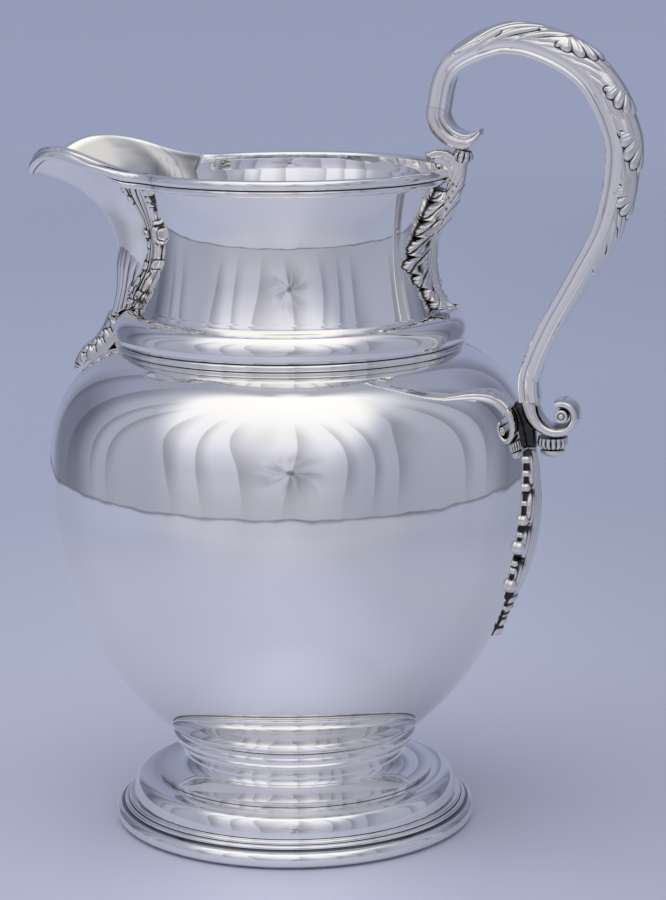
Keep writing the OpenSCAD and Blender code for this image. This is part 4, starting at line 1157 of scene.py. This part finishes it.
def make_seam_leaf(name, side, node):
    """Cast strip over a seam, from the lip down: on the spout where q is below 0, else on the neck."""
    length = 46
    k, q, away = leaf_grid(400, 160)
    v = mix(0.955, 0.04, k)
    places = [0, 0.12, 0.3, 0.38, 0.44, 0.5, 0.7, 0.86, 0.94, 1]
    on_spout_w = np.interp(k, places, [9, 9, 5, 4.6, 5.4, 4, 4.6, 7, 6.8, 4.5])
    on_neck_w = np.interp(k, places, [4.6, 4.8, 2.8, 5, 5.8, 3, 3.2, 3.2, 3.8, 2])
    w = q * np.where(q < 0, spread(on_spout_w, 9), spread(on_neck_w, 9))
    flat_u = np.linalg.norm(spout_point(1, v) - spout_point(0.9, v), axis=-1) / 0.1
    on_spout = spout_point(side * (1 + np.minimum(w, 0) / flat_u), v + 0 * q)
    seam = spout_point(side, v)
    seam_r = np.hypot(seam[..., 0], seam[..., 1])
    turn = np.arctan2(seam[..., 1], seam[..., 0]) - side * np.maximum(w, 0) / seam_r
    on_neck = ring_points(neck_r(seam[..., 2]) + SOLDER, turn, seam[..., 2])
    base = np.where((q < 0)[..., None], on_spout, on_neck)
    radial = unit(on_neck * (1, 1, 0))
    lean = smooth(-3, 2.5, w)[..., None]
    out = unit(mix(spout_normal(side * (1 + np.minimum(w, -0.5) / flat_u), v + 0 * q), radial, lean))
    strands = ridges(np.where(q < 0, 4, 3) * q + 0.5 * np.sin(5 * k), 0.7)
    ragged = 1 - 0.1 * np.sin(9 * np.pi * k + 2 * q) ** 2
    inside = smooth(0, 0.1, ragged - away) * smooth(0, 0.02, k) * smooth(0, 0.02, 1 - k)
    height = 1.1 * strands
    # Painted shade between the strands, outside the strip's edge and round each knob
    painted_shade = 1.2 * (1 - strands) ** 1.5 + 0.7 * smooth(0.3, 0.9, 1 - inside)
    for place, across, half_l, half_w, rise in SEAM_KNOBS:
        knob, line = rounded_knob(length * k, w, (length * place, across), (half_l, half_w), rise)
        height = np.maximum(height, knob + 0.5 * (knob > 0))
        painted_shade = np.maximum(np.where(knob > 0, 0, painted_shade), line)
    lift = (1 - away**1.8 + height) * inside - 0.3 * (1 - inside)
    front = base + lift[..., None] * out
    add_leaf(name, front, base - 0.6 * out, [node], height, np.clip(painted_shade, 0, 1))


def make_apron():
    flutes = 17
    t, q, side = leaf_grid(110, 420)
    v = mix(0.015, 0.5 * (1 - 0.35 * q**2), t)
    u = 0.92 * q + 0 * t
    flute = ridges(flutes * q / 2)
    fade = smooth(0, 0.35, 1 - t) * smooth(0, 0.12, 1 - side)
    lift = -0.1 + (0.4 + flute) * fade
    n = spout_normal(u, v)
    p = spout_point(u, v)
    # Painted shade between the flutes
    painted_shade = np.clip(1.4 * (1 - flute) ** 1.5 * fade, 0, 1)
    add_leaf("apron", p + lift[..., None] * n, p - 0.5 * n, ["spout_apron"], lift, painted_shade)


def make_spout_drop():
    """Leaf under the apron, turned out over the collar along a given way from the spout's foot."""
    foot = spout_point(0.0, 0.0)
    way = [(-0.2, 1.2), (-2.6, -4.2), (-6.2, -9), (-11, -13.2), (-13.8, -19.4)]
    leaflets = 6
    length = 26
    t, q, side = leaf_grid(260, 180)
    p = curve_through(way, t)
    d = unit(curve_through(way, np.minimum(t + 0.02, 1)) - curve_through(way, np.maximum(t - 0.02, 0)))
    n = np.stack([d[..., 1], -d[..., 0]], -1)
    half_w = 10.5 * (1 - 0.75 * t**3) + 0 * q
    height, painted_shade, _ = acanthus(t, side, leaflets, 1.2)
    for tip in range(leaflets):
        place = length * (tip + 0.9) / leaflets
        knob, line = rounded_knob(length * t, side * half_w, (place, 6.6 - 0.6 * tip), (1.5, 1.2), 1.3)
        height, painted_shade = laid_on(height, painted_shade, knob + 0.4 * (knob > 0), line)
    chased = smooth(0.06, 0.14, 1 - side)
    droop = 7.4 * q**2 * (1 - 0.6 * t)

    def at(lift):
        high = lift - droop
        x = foot[0] + p[..., 0] + n[..., 0] * high
        return np.stack([x, q * half_w, foot[2] + p[..., 1] + n[..., 1] * high], -1)
    lift = 0.7 + 0.5 * (1 - side**2) + 0.9 * height * chased
    # Painted shade of the leaflets and knobs, on the chased part
    shown = np.clip(painted_shade, 0, 1) * chased
    add_leaf("collar_leaf", at(lift), at(0 * lift - 0.2), ["spout_drop"], height * chased, shown)


# Stage

# Camera: turn round the ewer, tilt down, roll, place in millimetres, focal length and height of the picture
VIEW_TURN = math.radians(13)
TURNED = Matrix.Rotation(VIEW_TURN, 4, "Z")
CAMERA_TILT = math.radians(11.26)
CAMERA_ROLL = math.radians(-0.40)
CAMERA_PLACE = (14.11, -929.0, 313.7)
FOCAL_PX, FRAME_H_PX, SENSOR_MM = 2767, 900, 36


def make_camera():
    data = bpy.data.cameras.new("camera")
    data.sensor_width = SENSOR_MM
    data.lens = FOCAL_PX * SENSOR_MM / FRAME_H_PX
    data.clip_start, data.clip_end = 0.05, 20
    camera = add_object("camera", data)
    bpy.context.scene.camera = camera
    tilt = Matrix.Rotation(math.pi / 2 - CAMERA_TILT, 4, "X")
    roll = Matrix.Rotation(CAMERA_ROLL, 4, "Z")
    place = Matrix.Translation([c * MM for c in CAMERA_PLACE])
    camera.matrix_world = TURNED @ place @ tilt @ roll


# Elevation in degrees and tone, as a picture shows it, of the backdrop and of the tent's three parts
BACKDROP = [(-20, 158, 164, 189), (-8, 152, 159, 186), (-2, 148, 155, 182), (30, 145, 152, 179)]
TENT_FRONT = [
    (-20, 170, 171, 186), (-8, 178, 179, 196), (0, 186, 187, 205), (9, 187, 188, 206), (16, 198, 199, 218),
    (23, 210, 211, 228), (30, 226, 227, 243), (40, 238, 239, 250), (50, 246, 247, 254), (60, 254, 255, 258),
    (75, 260, 260, 260), (88, 266, 266, 266)]
TENT_SIDES = [
    (-15, 156, 160, 178), (12, 162, 166, 186), (30, 165, 169, 188), (45, 172, 176, 194), (54, 186, 189, 204),
    (60, 212, 214, 226), (66, 234, 235, 243), (73, 256, 256, 258), (88, 266, 266, 266)]
TENT_BEHIND = [
    (-15, 154, 161, 187), (5, 150, 157, 184), (40, 146, 152, 178), (60, 152, 156, 172), (80, 172, 175, 188),
    (85, 180, 182, 193), (87, 262, 262, 262)]
# Light of the tent on what doesn't mirror it
PLAIN_LIGHT = (0.66, 0.68, 0.75, 1)


def light_tent():
    """World: a draped cloth tent with a slit for the lens, seen in the silver.

    The camera itself sees a plain backdrop.
    """
    world = bpy.data.worlds.new("light_tent")
    bpy.context.scene.world = world
    world.use_nodes = True
    world.node_tree.nodes.clear()
    wire = Wire(world.node_tree)
    way = wire.add("ShaderNodeTexCoord", out="Generated")
    parts = wire.add("ShaderNodeSeparateXYZ", inputs={"Vector": wire.in_view(way)})
    right, back, up = parts.outputs(0, 1, 2)
    azimuth = wire.maths("ARCTAN2", right, 0 - back)
    rise = wire.maths("ARCSINE", up)
    camera_ray, glossy_ray = wire.add("ShaderNodeLightPath").outputs("Is Camera Ray", "Is Glossy Ray")
    backdrop = tent_ramp(wire, up, BACKDROP)
    draped = wire.scaled(tent_cloth(wire, azimuth, rise, up), tent_folds(wire, azimuth, rise))
    plain = camera_ray.blend(PLAIN_LIGHT, backdrop)
    light = glossy_ray.blend(plain, draped)
    shader = wire.add("ShaderNodeBackground", inputs={"Color": light, "Strength": 1.0})
    wire.add("ShaderNodeOutputWorld", inputs={"Surface": shader})


def tent_ramp(wire, up, stops):
    """Tones by elevation in degrees."""
    places = [(0.5 + 0.5 * math.sin(math.radians(angle)), tone(*rgb)) for angle, *rgb in stops]
    return wire.add("ShaderNodeValToRGB", {"stops": places}, {"Fac": up * 0.5 + 0.5}, out="Color")


def tent_cloth(wire, azimuth, rise, up):
    """Tones of the tent: bright in front and above, dimmer at the sides, the backdrop behind."""
    front, sides, behind = [tent_ramp(wire, up, tones) for tones in (TENT_FRONT, TENT_SIDES, TENT_BEHIND)]
    from_bright = wire.maths("ABSOLUTE", azimuth + 0.3)
    past_edge = from_bright - 0.72 * rise * rise
    from_middle = wire.maths("ABSOLUTE", azimuth)
    tent = past_edge.between(0.45, 0.95).blend(front, sides)
    return from_middle.between(1.75, 2.3).blend(tent, behind)


def tent_folds(wire, azimuth, rise):
    """Shade of the hanging folds, the pinched cloth round the lens, the lens and the backdrop's gaps."""
    place = wire.add("ShaderNodeCombineXYZ", inputs={"X": azimuth * 1.3, "Y": rise * 0.45})
    drift = wire.noise(place, 1.2, 0)
    fold = wire.maths("FRACT", azimuth * 2.7 + 2.2 * drift)
    crease = (1 - fold.between(0, 0.55)) * fold.between(0, 0.03)
    hang = rise.between(-0.3, 0.2) * (1 - rise.between(0.7, 1.1))
    lens_rise = 0.19
    beside, above = azimuth, rise - lens_rise
    from_lens = wire.maths("SQRT", beside * beside + above * above)
    angle = wire.maths("ARCTAN2", above, beside) + 1.6 * from_lens
    star = wire.add("ShaderNodeCombineXYZ", inputs={
        "X": wire.maths("COSINE", angle), "Y": wire.maths("SINE", angle), "Z": from_lens * 1.6})
    pinch = wire.noise(star, 1.9, 2).between(0.4, 0.7) * (1 - from_lens.between(0.05, 0.42))
    lens = 1 - from_lens.between(0.015, 0.05)
    from_middle = wire.maths("ABSOLUTE", azimuth)
    gap = from_middle.between(1.75, 2.15) * (1 - from_middle.between(2.45, 2.8))
    gap = gap * (1 - rise.between(0.25, 0.75))
    return (1 - 0.34 * crease * hang) * (1 - 0.36 * pinch) * (1 - 0.6 * lens) * (1 - 0.48 * gap)


# Painted pool of light on the floor: tones by the distance from a spot just in front of the ewer, in metres
FLOOR_PAINTED_LIGHT = [(0.04, 210, 213, 230), (0.1, 192, 195, 212), (0.18, 188, 191, 209), (0.3, 186, 190, 207),
               (0.6, 176, 182, 203), (1, 184, 190, 212)]
# Radii in metres: the tent's hem and the floor's end as the silver shows them, the floor's fade and edge
HEM_START, HEM_STOP, FLOOR_STOP = 0.655, 0.69, 0.70
FADE_START, FADE_STOP, FLOOR_R = 1.2, 2.9, 3.0
# The floor lies a hair under the base wire
FLOOR_GAP = 0.0003


def floor_finish():
    """Pale sheet with a soft gloss that melts into the backdrop; in the silver it ends at the tent's hem."""
    material, wire = new_finish("pale_sheet")
    place = wire.add("ShaderNodeTexCoord", out="Object")
    distance = wire.length(place)
    grain = wire.noise(place, 7, 3)
    ripple = wire.noise(place, 4.5, 2)
    glossy_ray, = wire.add("ShaderNodeLightPath").outputs("Is Glossy Ray")
    hem_place = distance + 0.11 * (ripple - 0.5)
    hem = hem_place.between(HEM_START, HEM_STOP) * glossy_ray
    in_view = wire.in_view(place)
    squeezed = wire.add("ShaderNodeMapping", inputs={
        "Vector": in_view, "Location": (0, 0.04, 0), "Scale": (1.5, 1, 1)})
    stops = [(r, tone(*rgb)) for r, *rgb in FLOOR_PAINTED_LIGHT]
    # Painted light: the floor is brightest just in front of the ewer and dims outwards
    sheet = wire.add("ShaderNodeValToRGB", {"stops": stops}, {"Fac": wire.length(squeezed)}, out="Color")
    beside, along = wire.add("ShaderNodeSeparateXYZ", inputs={"Vector": in_view}).outputs("X", "Y")
    # Painted light falloff: dimmer to the sides, more on the right, and brighter towards the front
    painted_falloff = 1 - 0.14 * beside.between(0, 0.16) - 0.06 * (1 - beside.between(-0.16, 0))
    painted_falloff = painted_falloff + 0.15 * (0 - along).between(0.2, 0.5)
    # Towards the front the tone turns greyer and less blue
    warmed = (0.75 * (0 - along).between(0.2, 0.4)).blend(sheet, colour(184, 183, 192))
    hemmed = hem.blend(wire.scaled(warmed, painted_falloff), colour(112, 114, 126))
    shader = wire.add("ShaderNodeBsdfPrincipled", inputs={
        "Base Color": hemmed, "Roughness": 0.3 + 0.06 * grain, "Specular IOR Level": 0.25})
    beyond = hem_place.between(FLOOR_STOP, FLOOR_STOP + 0.002) * glossy_ray
    gone = wire.maths("MAXIMUM", beyond, distance.between(FADE_START, FADE_STOP))
    clear = wire.add("ShaderNodeBsdfTransparent")
    mixed = wire.add("ShaderNodeMixShader", inputs={0: gone, 1: shader, 2: clear})
    finish_out(wire, mixed)
    return material


def make_floor():
    rings, around = np.linspace(0, FLOOR_R, 24), 72
    a = np.linspace(0, 2 * np.pi, around, endpoint=False)
    points = [(r * math.cos(t), r * math.sin(t), 0) for r in rings for t in a]
    mesh = bpy.data.meshes.new("floor")
    mesh.from_pydata(points, [], grid_faces(len(rings), around, wrap=True))
    mesh.materials.append(floor_finish())
    floor = add_object("floor", mesh)
    floor.location.z = -FLOOR_GAP


def make_lamp(name, place, size, watts):
    data = bpy.data.lights.new(name, "AREA")
    data.shape = "RECTANGLE"
    data.size, data.size_y = size
    data.energy = watts
    lamp = add_object(name, data)
    lamp.location = (TURNED @ Matrix.Translation(place)).to_translation()
    lamp.rotation_mode = "QUATERNION"
    lamp.rotation_quaternion = (-lamp.location).to_track_quat("-Z", "Y")
    lamp.visible_glossy = False


# The stage, then the pieces from the foot up
make_camera()
light_tent()
make_floor()
make_lamp("top_box", (-0.2, -0.3, 1.5), (1.2, 1.2), 9)
make_foot_rim()
make_foot_dome()
make_foot_spool()
make_foot_ring()
make_body()
make_neck()
make_neck_collar()
make_rim_wire()
make_spout()
make_lip_wire()
make_handle_half("strap_near", -1, "handle_half_near")
make_handle_half("strap_far", 1, "handle_half_far")
make_upper_scroll()
make_handle_leaf()
make_knop()
make_upper_bracket()
make_upper_leaf()
make_lower_scroll()
make_scroll_eye()
make_lower_stub()
make_lower_cup()
make_cup_button()
make_drop_leaf()
make_drop_berries()
make_seam_leaf("seam_leaf_near", -1, "spout_leaf_near")
make_seam_leaf("seam_leaf_far", 1, "spout_leaf_far")
make_apron()
make_spout_drop()

bpy.context.scene.view_settings.view_transform = "Standard"
